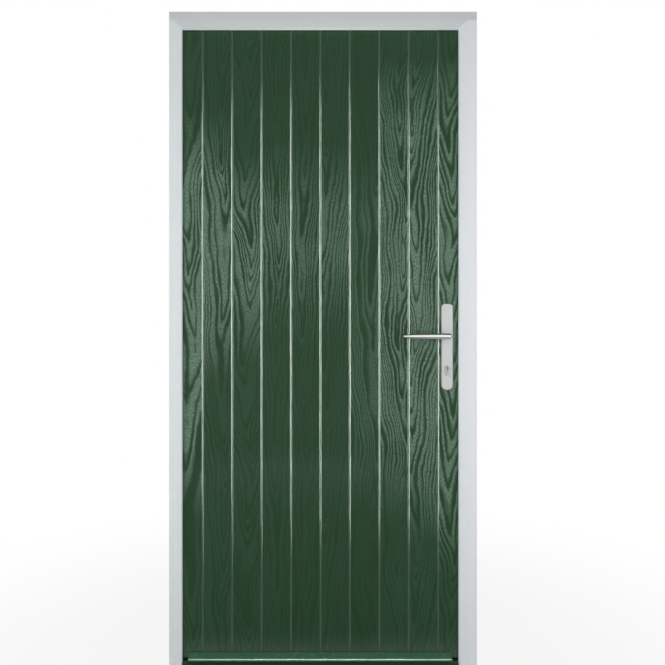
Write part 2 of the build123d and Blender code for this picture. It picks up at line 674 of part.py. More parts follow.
def leaf_seal():
    """The finned strip under the leaf that brushes the threshold."""
    low = THRESHOLD_HEIGHT + SEAT
    half = LEAF_SEAL_WIDTH / 2
    section = patch(-half, half, LEAF_BOTTOM - LEAF_SEAL_BASE, LEAF_BOTTOM)
    for side in (-1, 1):
        middle = side * (half - LEAF_SEAL_FIN)
        section += patch(middle - LEAF_SEAL_FIN / 2, middle + LEAF_SEAL_FIN / 2, low, LEAF_BOTTOM)
    return prism_x(section, LEAF_LEFT + LEAF_GAP, LEAF_RIGHT - LEAF_GAP)


# Hinges
def flag_screw_planes(height, x):
    """Where the screws of one hinge flag sit, in a vertical row."""
    reach = HINGE_HEIGHT / 2 - FLAG_SCREW_EDGE
    return [screw_plane((x, BACK_Y + FLAG_THICKNESS, height + i * reach), (0, -1, 0)) for i in (-1, 0, 1)]


def flag_plate(x0, x1, height):
    """A flat hinge flag with rounded corners against the inner faces."""
    half = HINGE_HEIGHT / 2
    sheet = patch(x0, x1, height - half, height + half)
    sheet = fillet(sheet.vertices(), FLAG_CORNER_RADIUS)
    return prism_y(sheet, BACK_Y, BACK_Y + FLAG_THICKNESS)


def knuckle(x0, x1, z0, z1, bore):
    """A stretch of hinge barrel with the tongue that joins it to its flag."""
    barrel = rod_z(KNUCKLE_RADIUS, z0, z1, HINGE_X, HINGE_Y)
    barrel += block(x0, x1, BACK_Y + KNUCKLE_STANDOFF, BACK_Y + FLAG_THICKNESS, z0, z1)
    return barrel - rod_z(bore, z0 - OVERRUN, z1 + OVERRUN, HINGE_X, HINGE_Y)


def frame_flag(z, planes):
    """The flag on the frame, with a knuckle above and below the leaf's knuckle."""
    flag = flag_plate(FRAME_FLAG_START, FRAME_FLAG_END, z)
    root = FRAME_FLAG_END - FLAG_CORNER_RADIUS
    near = DOOR_KNUCKLE_HEIGHT / 2 + KNUCKLE_SIDE_GAP
    bore = PIN_RADIUS + RUNNING
    flag += knuckle(root, HINGE_X, z + near, z + BARREL_HALF, bore)
    flag += knuckle(root, HINGE_X, z - BARREL_HALF, z - near, bore)
    return flag - [screw_hole(FLAG_SCREW, p) for p in planes]


def door_flag(z, planes):
    """The flag on the leaf, with the middle knuckle bored for its bush."""
    flag = flag_plate(DOOR_FLAG_START, DOOR_FLAG_END, z)
    half = DOOR_KNUCKLE_HEIGHT / 2
    root = DOOR_FLAG_START + FLAG_CORNER_RADIUS
    flag += knuckle(HINGE_X, root, z - half, z + half, BUSH_RADIUS + RUNNING)
    return flag - [screw_hole(LONG_FLAG_SCREW, p) for p in planes]


def hinge_pin(z):
    """The pin through all three knuckles, with a flat head on top."""
    top = z + BARREL_HALF
    pin = rod_z(PIN_RADIUS, z - BARREL_HALF, top, HINGE_X, HINGE_Y)
    return pin + rod_z(PIN_HEAD_RADIUS, top, top + PIN_HEAD_HEIGHT, HINGE_X, HINGE_Y)


def hinge_bush(z):
    """The bush between the pin and the leaf's knuckle."""
    half = DOOR_KNUCKLE_HEIGHT / 2
    bush = rod_z(BUSH_RADIUS, z - half, z + half, HINGE_X, HINGE_Y)
    return bush - rod_z(PIN_RADIUS + RUNNING, z - BARREL_HALF, z + BARREL_HALF, HINGE_X, HINGE_Y)


def hinges():
    """Three flag hinges, with the screw holes that they need in frame and leaf."""
    frame_row = (FRAME_FLAG_START + FRAME_FLAG_END) / 2
    door_row = (DOOR_FLAG_START + DOOR_FLAG_END) / 2
    made = {}
    frame_planes = []
    door_planes = []
    for name, z in HINGE_HEIGHTS.items():
        frame_own = flag_screw_planes(z, frame_row)
        door_own = flag_screw_planes(z, door_row)
        made[name + "_hinge_frame_flag"] = frame_flag(z, frame_own)
        made[name + "_hinge_door_flag"] = door_flag(z, door_own)
        made[name + "_hinge_pin"] = hinge_pin(z)
        frame_planes += frame_own
        door_planes += door_own
    made["hinge_bushes"] = [hinge_bush(z) for z in HINGE_HEIGHTS.values()]
    made["hinge_frame_screws"] = [screw(FLAG_SCREW, p) for p in frame_planes]
    made["hinge_door_screws"] = [screw(LONG_FLAG_SCREW, p) for p in door_planes]
    frame_holes = [screw_hole(FLAG_SCREW, p) for p in frame_planes]
    door_holes = [screw_hole(LONG_FLAG_SCREW, p) for p in door_planes]
    return made, frame_holes, door_holes


# Lock
def bolt_slot(x0, x1, z0, z1, clearance):
    """The slot that a bolt between two heights slides through."""
    return block(x0, x1, BOLT_NEAR_Y - clearance, BOLT_FAR_Y + clearance, z0 - clearance, z1 + clearance)


def hook_slot(x0, x1, z, clearance):
    """The slot that a hook swings through."""
    low = z - HOOK_SLOT_BELOW
    return block(x0, x1, HOOK_NEAR_Y - clearance, HOOK_FAR_Y + clearance, low, z + HOOK_SLOT_ABOVE)


def edge_slots(x0, x1, clearance):
    """Every slot that latch, deadbolt and hooks pass through between two planes."""
    slots = [bolt_slot(x0, x1, LATCH_BOTTOM, LATCH_BOTTOM + LATCH_HEIGHT, clearance)]
    slots.append(bolt_slot(x0, x1, DEADBOLT_BOTTOM, DEADBOLT_BOTTOM + DEADBOLT_HEIGHT, clearance))
    return slots + [hook_slot(x0, x1, z, clearance) for z in HOOK_HEIGHTS.values()]


def faceplate_screw_planes():
    """Where the faceplate is screwed to the stile, clear of every case."""
    middle = (UPPER_HOOK_HEIGHT - HOOK_CASE_BELOW + CASE_TOP) / 2
    low_middle = (LOWER_HOOK_HEIGHT + HOOK_CASE_ABOVE + CASE_BOTTOM) / 2
    heights = [(LOWER_HOOK_HEIGHT - HOOK_CASE_BELOW + FACEPLATE_BOTTOM) / 2]
    heights.append((UPPER_HOOK_HEIGHT + HOOK_CASE_ABOVE + FACEPLATE_TOP) / 2)
    for height in (middle, low_middle):
        heights += [height - FACEPLATE_SCREW_SPREAD, height + FACEPLATE_SCREW_SPREAD]
    return [screw_plane((LEAF_RIGHT, 0, z), (-1, 0, 0)) for z in heights]


def cylinder_screw_plane():
    """Where the screw that holds the cylinder enters the faceplate."""
    return screw_plane((LEAF_RIGHT, 0, LEG_CENTRE), (-1, 0, 0))


def faceplate():
    """The long faceplate let into the lock edge."""
    half = FACEPLATE_WIDTH / 2
    plate = block(FACEPLATE_BACK, LEAF_RIGHT, -half, half, FACEPLATE_BOTTOM, FACEPLATE_TOP)
    plate -= edge_slots(FACEPLATE_BACK - OVERRUN, LEAF_RIGHT + OVERRUN, BOLT_SLOT_CLEARANCE)
    plate -= [screw_hole(FACEPLATE_SCREW, p) for p in faceplate_screw_planes()]
    return plate - screw_hole(CYLINDER_SCREW, cylinder_screw_plane(), BACKSET)


def open_case(depth, z0, z1):
    """A sheet case that the faceplate closes, with a way through for the drive rail."""
    half = CASE_THICKNESS / 2
    back = FACEPLATE_BACK - depth
    shell = block(back, FACEPLATE_BACK, -half, half, z0, z1)
    inside = CASE_INSIDE_Y
    front = FACEPLATE_BACK + OVERRUN
    shell -= block(back + CASE_WALL, front, -inside, inside, z0 + CASE_WALL, z1 - CASE_WALL)
    gap = BOLT_SLOT_CLEARANCE
    rail_low = RAIL_NEAR_Y - gap
    return shell - block(RAIL_FAR_X - gap, RAIL_NEAR_X + gap, rail_low, inside, z0 - OVERRUN, z1 + OVERRUN)


def lock_case():
    """The gearbox case, open at follower and cylinder."""
    case = open_case(CASE_DEPTH, CASE_BOTTOM, CASE_TOP)
    half = CASE_THICKNESS / 2 + OVERRUN
    case -= rod_y(FOLLOWER_COLLAR_RADIUS + RUNNING, -half, half, SPINDLE_X, SPINDLE_HEIGHT)
    return case - prism_y(euro_profile(SEAT), -half, half)


def hook_case(z):
    """The case around one hook, with the holes of its pivot."""
    case = open_case(HOOK_CASE_DEPTH, z - HOOK_CASE_BELOW, z + HOOK_CASE_ABOVE)
    half = CASE_THICKNESS / 2 + OVERRUN
    return case - rod_y(HOOK_PIVOT_RADIUS + RUNNING, -half, half, HOOK_X, z)


def hook(z):
    """A hook at rest: its arm stands upright in the case, with the claw towards the jamb."""
    shape = Circle(HOOK_HUB_RADIUS) + patch(-HOOK_HALF_WIDTH, HOOK_HALF_WIDTH, 0, HOOK_ARM)
    shape += patch(0, HOOK_HALF_WIDTH + HOOK_CLAW, HOOK_ARM - HOOK_CLAW_HEIGHT, HOOK_ARM)
    pin_x = HOOK_PIN_X - HOOK_X
    shape += Pos(pin_x, -HOOK_PIN_DROP) * Circle(HOOK_PIN_LOBE_RADIUS)
    web = Rectangle(HOOK_PIN_REACH, 2 * HOOK_PIN_LOBE_RADIUS)
    shape += Pos(pin_x / 2, -HOOK_PIN_DROP / 2) * Rot(0, 0, HOOK_THROW_DEGREES / 2) * web
    body = prism_y(Pos(HOOK_X, z) * shape, HOOK_NEAR_Y, HOOK_FAR_Y)
    body -= rod_y(HOOK_PIVOT_RADIUS + RUNNING, HOOK_NEAR_Y - OVERRUN, HOOK_FAR_Y + OVERRUN, HOOK_X, z)
    pin_start = HOOK_FAR_Y - HOOK_THICKNESS / 2
    return body + rod_y(HOOK_PIN_RADIUS, pin_start, RAIL_FAR_Y, HOOK_PIN_X, z - HOOK_PIN_DROP)


def drive_rail():
    """The flat rail that throws both hooks, with an ear and a slot for each hook's drive pin."""
    low = LOWER_HOOK_HEIGHT - RAIL_PAST_HOOK
    high = UPPER_HOOK_HEIGHT + RAIL_PAST_HOOK
    rail = block(RAIL_FAR_X, RAIL_NEAR_X, RAIL_NEAR_Y, RAIL_FAR_Y, low, high)
    clear = HOOK_PIN_RADIUS + HOOK_PIN_SLOT_CLEARANCE
    ear = RAIL_NEAR_X - RAIL_EAR_WIDTH
    half = RAIL_EAR_HEIGHT / 2
    slot = HOOK_X - HOOK_PIN_REACH - clear
    slot_end = HOOK_PIN_X + clear
    low_y = RAIL_NEAR_Y - OVERRUN
    high_y = RAIL_FAR_Y + OVERRUN
    for z in HOOK_HEIGHTS.values():
        level = z - HOOK_PIN_DROP
        rail += block(ear, RAIL_NEAR_X, RAIL_NEAR_Y, RAIL_FAR_Y, level - half, level + half)
        rail -= block(slot, slot_end, low_y, high_y, level - clear, level + clear)
    return rail


def latch_bolt():
    """The latch, drawn back flush with the faceplate, bevelled on the side that meets the keep."""
    tip = LEAF_RIGHT - BOLT_FLUSH
    tail = tip - LATCH_LENGTH
    shape = outline(
        (tail, BOLT_NEAR_Y),
        (tip - LATCH_BEVEL, BOLT_NEAR_Y),
        (tip, BOLT_FAR_Y - BOLT_SIDE_OFFSET),
        (tip, BOLT_FAR_Y),
        (tail, BOLT_FAR_Y),
    )
    return prism_z(shape, LATCH_BOTTOM, LATCH_BOTTOM + LATCH_HEIGHT)


def deadbolt():
    """The deadbolt, drawn back, with the tail that the cam drives."""
    tip = LEAF_RIGHT - BOLT_FLUSH
    top = DEADBOLT_BOTTOM + DEADBOLT_HEIGHT
    bolt = block(tip - DEADBOLT_LENGTH, tip, BOLT_NEAR_Y, BOLT_FAR_Y, DEADBOLT_BOTTOM, top)
    near_y = -CASE_INSIDE_Y + SEAT
    right = LEAF_RIGHT - DEADBOLT_TAIL_SETBACK
    left = right - DEADBOLT_TAIL_WIDTH
    tail_top = DEADBOLT_BOTTOM + BOLT_THICKNESS
    return bolt + block(left, right, near_y, near_y + DEADBOLT_TAIL_THICKNESS, CYLINDER_HEIGHT, tail_top)


def follower():
    """The hub that the spindle turns, with collars in the case walls and a short arm."""
    hub_half = CASE_INSIDE_Y - SEAT
    collar_half = CASE_THICKNESS / 2
    hub = rod_y(FOLLOWER_RADIUS, -hub_half, hub_half, SPINDLE_X, SPINDLE_HEIGHT)
    hub += rod_y(FOLLOWER_COLLAR_RADIUS, -collar_half, collar_half, SPINDLE_X, SPINDLE_HEIGHT)
    arm = FOLLOWER_ARM_WIDTH / 2
    thick = FOLLOWER_ARM_THICKNESS / 2
    low = SPINDLE_HEIGHT - FOLLOWER_ARM_REACH
    hub += block(SPINDLE_X - arm, SPINDLE_X + arm, -thick, thick, low, SPINDLE_HEIGHT)
    return hub - square_bar(SPINDLE_SIZE / 2 + RUNNING, -collar_half - OVERRUN, collar_half + OVERRUN)


def square_bar(half, y0, y1):
    """A square bar on the spindle's axis."""
    x = SPINDLE_X
    z = SPINDLE_HEIGHT
    return block(x - half, x + half, y0, y1, z - half, z + half)


def keep(z0, z1, slots):
    """A keep plate over a range of slots, with its screw planes."""
    half = KEEP_WIDTH / 2
    low = z0 - KEEP_PAST_SLOT
    high = z1 + KEEP_PAST_SLOT
    plate = block(KEEP_FACE, REBATE_RIGHT, -half, half, low, high) - slots
    ends = (low + KEEP_PAST_SLOT / 2, high - KEEP_PAST_SLOT / 2)
    planes = [screw_plane((KEEP_FACE, 0, z), (1, 0, 0)) for z in ends]
    return plate - [screw_hole(KEEP_SCREW, p) for p in planes], planes


def keeps():
    """The three keeps and their screws, with what they need cut out of the lock jamb."""
    slots = edge_slots(KEEP_FACE - OVERRUN, REBATE_RIGHT + OVERRUN, KEEP_SLOT_CLEARANCE)
    made = {}
    latch_top = LATCH_BOTTOM + LATCH_HEIGHT
    made["centre_keep"], planes = keep(DEADBOLT_BOTTOM, latch_top, slots)
    for name, z in HOOK_HEIGHTS.items():
        made[name + "_hook_keep"], more = keep(z - HOOK_SLOT_BELOW, z + HOOK_SLOT_ABOVE, slots)
        planes += more
    made["keep_screws"] = [screw(KEEP_SCREW, p) for p in planes]
    return made, slots + [screw_hole(KEEP_SCREW, p) for p in planes]


# Cylinder
def cylinder():
    """The cylinder body, its plug, cam, thumb-turn and retaining screw."""
    x = SPINDLE_X
    z = CYLINDER_HEIGHT
    half_gap = CAM_GAP / 2
    half_cam = CAM_WIDTH / 2
    body = prism_y(euro_profile(), CYLINDER_OUT_Y, CYLINDER_IN_Y)
    body -= rod_y(PLUG_RADIUS + RUNNING, CYLINDER_OUT_Y - OVERRUN, CYLINDER_IN_Y + OVERRUN, x, z)
    bridge = LEG_CENTRE - LEG_RADIUS + CYLINDER_BRIDGE
    past = CYLINDER_RADIUS + OVERRUN
    body -= block(x - past, x + past, -half_gap, half_gap, bridge, z + past)
    screw_at = cylinder_screw_plane()
    length = BACKSET - LEG_RADIUS / 2
    made = {"cylinder_body": body - screw_hole(CYLINDER_SCREW, screw_at, BACKSET)}
    made["cylinder_screw"] = screw(CYLINDER_SCREW, screw_at, length)
    plug = rod_y(PLUG_RADIUS, CYLINDER_OUT_Y - SEAT, -half_cam, x, z)
    key_half = KEYWAY_WIDTH / 2
    key_low = z - KEYWAY_HEIGHT / 2
    key_top = key_low + KEYWAY_HEIGHT
    key_y = CYLINDER_OUT_Y - OVERRUN
    key_end = CYLINDER_OUT_Y + KEYWAY_DEPTH
    plug -= block(x - key_half, x + key_half, key_y, key_end, key_low, key_top)
    made["outer_plug"] = plug
    cam = rod_y(CAM_HUB_RADIUS, -half_cam, half_cam, x, z)
    tongue = CAM_TONGUE / 2
    cam += block(x - tongue, x + tongue, -half_cam, half_cam, z - CAM_REACH, z)
    made["cylinder_cam"] = cam & rod_y(CAM_REACH, -half_cam, half_cam, x, z)
    stem_end = CYLINDER_IN_Y + TURN_STEM_LENGTH
    turn = rod_y(PLUG_RADIUS, half_cam, CYLINDER_IN_Y + SEAT, x, z)
    turn += rod_y(TURN_STEM_RADIUS, CYLINDER_IN_Y, stem_end, x, z)
    grip = patch(x - TURN_WIDTH / 2, x + TURN_WIDTH / 2, z - TURN_LENGTH / 2, z + TURN_LENGTH / 2)
    grip = fillet(grip.vertices(), TURN_EDGE_RADIUS)
    made["thumb_turn"] = turn + prism_y(grip, stem_end, stem_end + TURN_DEPTH)
    return made


# Handles
def blank_plate():
    """The outer handle plate before its screw holes: a long plate with rounded ends and edges."""
    half = PLATE_WIDTH / 2
    top = SPINDLE_HEIGHT + PLATE_ABOVE_SPINDLE
    bottom = SPINDLE_HEIGHT - PLATE_BELOW_SPINDLE
    shape = patch(SPINDLE_X - half, SPINDLE_X + half, bottom, top)
    shape = fillet([v for v in shape.vertices() if v.Y > SPINDLE_HEIGHT], PLATE_TOP_RADIUS)
    lower = shape.vertices().sort_by(Axis.Y)[:2]
    shape = fillet(lower, PLATE_BOTTOM_RADIUS)
    plate = prism_y(shape, PLATE_OUT_Y, LEAF_OUT_Y)
    front = plate.faces().sort_by(Axis.Y)[0]
    plate = fillet(front.edges(), PLATE_EDGE_RADIUS)
    low_y = PLATE_OUT_Y - OVERRUN
    high_y = LEAF_OUT_Y + OVERRUN
    plate -= rod_y(NECK_RADIUS + SEAT, low_y, high_y, SPINDLE_X, SPINDLE_HEIGHT)
    return plate - prism_y(euro_profile(SEAT), low_y, high_y)


def lever():
    """The outer lever: a tapered round bar with a rounded elbow and a pointed tip, on a round neck."""
    stations = [share * LEVER_LENGTH for share in LEVER_STATION_SHARES]
    belly = LEVER_RADIUS * LEVER_BELLY_SHARE
    waist = LEVER_RADIUS * LEVER_WAIST_SHARE
    shoulder = LEVER_RADIUS * LEVER_SHOULDER_SHARE
    elbow = CenterArc((0, 0), LEVER_RADIUS, 0, QUARTER)
    taper = Spline(
        (0, LEVER_RADIUS),
        (-stations[0], belly),
        (-stations[1], waist),
        (-stations[2], shoulder),
        (-LEVER_LENGTH, 0),
        tangents=((-1, 0), (0, -1)),
    )
    half = make_face([elbow, taper, Line((-LEVER_LENGTH, 0), (LEVER_RADIUS, 0))])
    bar = revolve(half, Axis.X)
    bar = Pos(SPINDLE_X, LEVER_Y, SPINDLE_HEIGHT) * bar
    neck_end = LEAF_OUT_Y - SEAT
    bar += rod_y(NECK_RADIUS, LEVER_Y, neck_end, SPINDLE_X, SPINDLE_HEIGHT)
    return bar - square_bar(SPINDLE_SIZE / 2 + RUNNING, neck_end - SPINDLE_SOCKET, neck_end + OVERRUN)


def handles():
    """Both plates and levers, the spindle and the screws that clamp the plates."""
    plate = blank_plate()
    screw_length = PLATE_IN_Y - LEAF_OUT_Y + HANDLE_SCREW_DEPTH - SEAT
    planes = [screw_plane((SPINDLE_X, PLATE_IN_Y, z), (0, -1, 0)) for z in HANDLE_SCREW_HEIGHTS]
    holes = [screw_hole(HANDLE_SCREW, p, screw_length) for p in planes]
    spindle_half = LEAF_THICKNESS / 2 + SPINDLE_SOCKET - SEAT
    outer_lever = lever()
    made = {}
    made["outer_handle_plate"] = plate - holes
    made["inner_handle_plate"] = mirror(plate, about=Plane.XZ) - holes
    made["handle_screws"] = [screw(HANDLE_SCREW, p, screw_length) for p in planes]
    made["outer_lever"] = outer_lever
    made["inner_lever"] = mirror(outer_lever, about=Plane.XZ)
    made["spindle"] = square_bar(SPINDLE_SIZE / 2, -spindle_half, spindle_half)
    return made


def lock_parts():
    """Everything that sits in the leaf's lock edge."""
    made = {"lock_faceplate": faceplate(), "lock_case": lock_case()}
    made["faceplate_screws"] = [screw(FACEPLATE_SCREW, p) for p in faceplate_screw_planes()]
    half = CASE_THICKNESS / 2
    pivots = []
    for name, z in HOOK_HEIGHTS.items():
        made[name + "_hook_case"] = hook_case(z)
        made[name + "_hook"] = hook(z)
        pivots.append(rod_y(HOOK_PIVOT_RADIUS, -half, half, HOOK_X, z))
    made["hook_pivots"] = pivots
    made["drive_rail"] = drive_rail()
    made["latch_bolt"] = latch_bolt()
    made["deadbolt"] = deadbolt()
    made["follower"] = follower()
    return made


def whole_door():
    """Every piece by name."""
    made = frame_members()
    made["threshold"] = threshold()
    made.update(leaf_body())
    made.update(weather_bar())
    made["leaf_seal"] = leaf_seal()
    hinge_parts, frame_holes, door_holes = hinges()
    made.update(hinge_parts)
    made.update(lock_parts())
    keep_parts, keep_cuts = keeps()
    made.update(keep_parts)
    made.update(cylinder())
    made.update(handles())
    made["hinge_jamb"] -= frame_holes
    made["hinge_jamb_steel"] -= frame_holes
    made["inner_skin"] -= door_holes
    made["hinge_stile"] -= door_holes
    made["lock_jamb"], made["lock_jamb_back"] = parted_at_stop(made["lock_jamb"] - keep_cuts)
    made["lock_stile"] -= [screw_hole(FACEPLATE_SCREW, p) for p in faceplate_screw_planes()]
    return made


os.makedirs("parts", exist_ok=True)
for node, shape in whole_door().items():
    solids = shape if isinstance(shape, list) else [shape]
    export_step(Compound(children=[Part() + s for s in solids]), "parts/" + node + ".step")
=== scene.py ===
import json
import logging
import math
from dataclasses import astuple, dataclass
from enum import Enum
from typing import Union

import bpy
import numpy as np
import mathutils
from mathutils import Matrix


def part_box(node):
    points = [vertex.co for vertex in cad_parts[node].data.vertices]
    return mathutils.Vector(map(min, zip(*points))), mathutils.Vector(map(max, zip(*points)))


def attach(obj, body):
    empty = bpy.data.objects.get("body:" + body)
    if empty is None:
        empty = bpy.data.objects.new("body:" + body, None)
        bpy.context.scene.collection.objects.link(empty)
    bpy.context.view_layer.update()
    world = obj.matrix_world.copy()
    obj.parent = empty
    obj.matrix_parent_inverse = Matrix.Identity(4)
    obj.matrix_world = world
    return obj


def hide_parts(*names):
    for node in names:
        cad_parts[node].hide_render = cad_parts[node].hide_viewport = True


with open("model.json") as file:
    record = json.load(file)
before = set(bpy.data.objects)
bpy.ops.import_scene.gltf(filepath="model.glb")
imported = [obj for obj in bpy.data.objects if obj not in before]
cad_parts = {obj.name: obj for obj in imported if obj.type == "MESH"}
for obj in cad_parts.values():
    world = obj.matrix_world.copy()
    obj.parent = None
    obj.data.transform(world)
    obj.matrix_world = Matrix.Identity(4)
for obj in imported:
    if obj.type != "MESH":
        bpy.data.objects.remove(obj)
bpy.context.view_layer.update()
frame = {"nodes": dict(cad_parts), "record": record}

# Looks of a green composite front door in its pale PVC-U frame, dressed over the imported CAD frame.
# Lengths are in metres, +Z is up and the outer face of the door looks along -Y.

LOG = logging.getLogger("door")
Colour = tuple[float, float, float]
Vector = tuple[float, float, float]
Range = tuple[float, float]
Socket = bpy.types.NodeSocket
Value = Union[float, int, tuple, Socket]
WHITE: Colour = (1.0, 1.0, 1.0)
UNIT: Range = (0.0, 1.0)
FULL_TURN = 2.0 * math.pi
MM_PER_METRE = 1000.0
# Numbers of the mix node's sockets for colours, whose names other sockets of the node share.
MIX_FACTOR, MIX_FIRST, MIX_SECOND, MIX_RESULT = 0, 6, 7, 2


class Side(Enum):
    """Face of the leaf, with the sign of its outward Y direction."""

    OUTER = -1
    INNER = 1


class Role(Enum):
    """What a lamp does.

    Each role says whether the lamp lights surfaces, whether it shows in shiny ones, and which pieces it falls on.
    """

    LIGHT = (True, True, "all")
    MATT = (True, False, "all")
    GROOVE = (False, True, "grooves")
    METAL = (False, True, "fittings")
    BAR = (False, True, "bar")
    JAMBS = (True, False, "jambs")
    HINGE_JAMB = (True, False, "hinge_jamb")
    LOCK_JAMB = (True, False, "lock_jamb")
    HEAD = (True, False, "head")


class Pattern(Enum):
    """Fine pattern of a finish, with its stretch along X, Y and Z.

    A stretch of 0.999 only keeps an even pattern apart from the moulded one, because members with equal values
    would be one member.
    """

    MOULDED = (1.0, 1.0, 1.0)
    DRAWN_X = (0.03, 1.0, 1.0)
    DRAWN_Y = (1.0, 0.03, 1.0)
    DRAWN_Z = (1.0, 1.0, 0.03)
    FIBRES = (1.0, 1.0, 0.08)
    SPANGLE = (1.0, 1.0, 0.999)
    CELLS = (1.0, 0.999, 1.0)


class Graph:
    """Builds a node tree from short calls."""

    def __init__(self, tree: bpy.types.NodeTree) -> None:
        """Empties the tree."""
        self.tree = tree
        tree.nodes.clear()

    def add(self, kind: str, inputs: dict[Union[str, int], Value], **options: object) -> bpy.types.Node:
        """Adds a node.

        Args:
            kind: node type.
            inputs: values or sockets for its inputs, by name or number.
            options: settings of the node itself.

        Returns:
            The new node.
        """
        node = self.tree.nodes.new(kind)
        for key, value in options.items():
            setattr(node, key, value)
        for key, value in inputs.items():
            if isinstance(value, Socket):
                self.tree.links.new(value, node.inputs[key])
            elif node.inputs[key].type == "RGBA":
                node.inputs[key].default_value = (*value, 1.0)
            else:
                node.inputs[key].default_value = value
        return node

    def place(self, stretch: Vector = (1.0, 1.0, 1.0)) -> Socket:
        """Object coordinates, scaled by a stretch."""
        coords = self.add("ShaderNodeTexCoord", {}).outputs["Object"]
        return self.add("ShaderNodeMapping", {"Vector": coords, "Scale": stretch}).outputs["Vector"]

    def axis(self, vector: Socket, name: str) -> Socket:
        """X, Y or Z of a vector."""
        return self.add("ShaderNodeSeparateXYZ", {"Vector": vector}).outputs[name]

    def attribute(self, name: str) -> Socket:
        """Value of one of the mesh's own attributes."""
        return self.add("ShaderNodeAttribute", {}, attribute_name=name).outputs["Fac"]

    def noise(self, vector: Socket, scale: float, detail: float, rough: float = 0.5) -> Socket:
        """Smooth noise between 0 and 1 over a vector."""
        inputs = {"Vector": vector, "Scale": scale, "Detail": detail, "Roughness": rough}
        return self.add("ShaderNodeTexNoise", inputs).outputs[0]

    def math(self, operation: str, *values: Value) -> Socket:
        """One arithmetic step on up to three values."""
        return self.add("ShaderNodeMath", dict(enumerate(values)), operation=operation).outputs[0]

    def span(self, value: Socket, given: Range, wanted: Range = UNIT) -> Socket:
        """Maps a value smoothly from one range to another, clamped."""
        inputs = {"Value": value} | dict(zip(("From Min", "From Max", "To Min", "To Max"), given + wanted))
        return self.add("ShaderNodeMapRange", inputs, interpolation_type="SMOOTHSTEP").outputs[0]

    def blend(self, factor: Socket, first: Value, second: Value) -> Socket:
        """Mixes two colours by a factor."""
        inputs = {MIX_FACTOR: factor, MIX_FIRST: first, MIX_SECOND: second}
        return self.add("ShaderNodeMix", inputs, data_type="RGBA").outputs[MIX_RESULT]

    def bump(self, height: Socket, depth: float) -> Socket:
        """Normal of a surface lifted by a height, with its depth in metres."""
        inputs = {"Height": height, "Distance": depth, "Strength": 1.0}
        return self.add("ShaderNodeBump", inputs).outputs["Normal"]

    def surface(self, inputs: dict[str, Value]) -> None:
        """Ends the tree with a Principled surface."""
        shader = self.add("ShaderNodeBsdfPrincipled", inputs)
        self.add("ShaderNodeOutputMaterial", {"Surface": shader.outputs["BSDF"]})


def blank_material(name: str) -> tuple[bpy.types.Material, Graph]:
    """Makes a material without nodes.

    Args:
        name: material name.

    Returns:
        The material and the graph that its nodes are added to.
    """
    made = bpy.data.materials.new(name)
    made.use_nodes = True
    return made, Graph(made.node_tree)


@dataclass(frozen=True)
class Finish:
    """A finish with a fine procedural pattern.

    Attributes:
        slot: material slot of the record that it dresses.
        dark: colour in the pattern's low spots.
        light: colour in its high spots.
        roughness: lowest and highest roughness.
        metallic: 1 for bare or plated metal.
        specular: strength of the clear reflection.
        pattern: kind and direction of the fine pattern.
        scale: pattern repeats per metre.
        depth: relief of the pattern in metres.
        detail: octaves of the fine noise.
        rough: strength of its finer octaves.
        slow_share: repeats of the slow tone for one of the pattern.
        slow_detail: octaves of the slow tone.
        slow_span: slow tone at the lowest and the highest roughness.
        mix: share that the fine and the slow tone each have in the colour.
        tone_span: mixed tone at the dark and the light colour.
    """

    slot: str
    dark: Colour
    light: Colour
    roughness: Range
    metallic: float = 0.0
    specular: float = 0.5
    pattern: Pattern = Pattern.MOULDED
    scale: float = 900.0
    depth: float = 0.00004
    detail: float = 4.0
    rough: float = 0.6
    slow_share: float = 0.04
    slow_detail: float = 3.0
    slow_span: Range = (0.3, 0.7)
    mix: float = 0.5
    tone_span: Range = (0.25, 0.75)

    def grain(self, graph: Graph, coords: Socket) -> Socket:
        """Height of the fine pattern between 0 and 1.

        Args:
            graph: tree to build in.
            coords: stretched object coordinates.

        Returns:
            The height socket: crystal or cell edges for those patterns, and noise for the rest.
        """
        if self.pattern in (Pattern.SPANGLE, Pattern.CELLS):
            cells = graph.add("ShaderNodeTexVoronoi", {"Vector": coords, "Scale": self.scale})
            return cells.outputs["Distance"]
        return graph.noise(coords, self.scale, self.detail, self.rough)

    def material(self) -> bpy.types.Material:
        """Builds the finish.

        Returns:
            The material. Its colour and relief follow the pattern, and its colour and roughness a slow uneven tone.
        """
        made, graph = blank_material(self.slot)
        coords = graph.place(self.pattern.value)
        fine = self.grain(graph, coords)
        slow = graph.noise(coords, self.scale * self.slow_share, self.slow_detail)
        mixed = graph.math("MULTIPLY_ADD", fine, self.mix, graph.math("MULTIPLY", slow, self.mix))
        graph.surface({
            "Base Color": graph.blend(graph.span(mixed, self.tone_span), self.dark, self.light),
            "Roughness": graph.span(slow, self.slow_span, self.roughness),
            "Metallic": self.metallic,
            "Specular IOR Level": self.specular,
            "Normal": graph.bump(fine, self.depth),
        })
        return made


@dataclass(frozen=True)
class Streaks:
    """Noise that is drawn out up the door.

    Attributes:
        stretch: repeats up the door for one across it.
        scale: repeats per metre across.
        detail: octaves.
        rough: strength of the finer octaves.
    """

    stretch: float
    scale: float
    detail: float = 3.0
    rough: float = 0.6

    def noise(self, graph: Graph) -> Socket:
        """The noise, between 0 and 1."""
        return graph.noise(graph.place((1.0, 1.0, self.stretch)), self.scale, self.detail, self.rough)


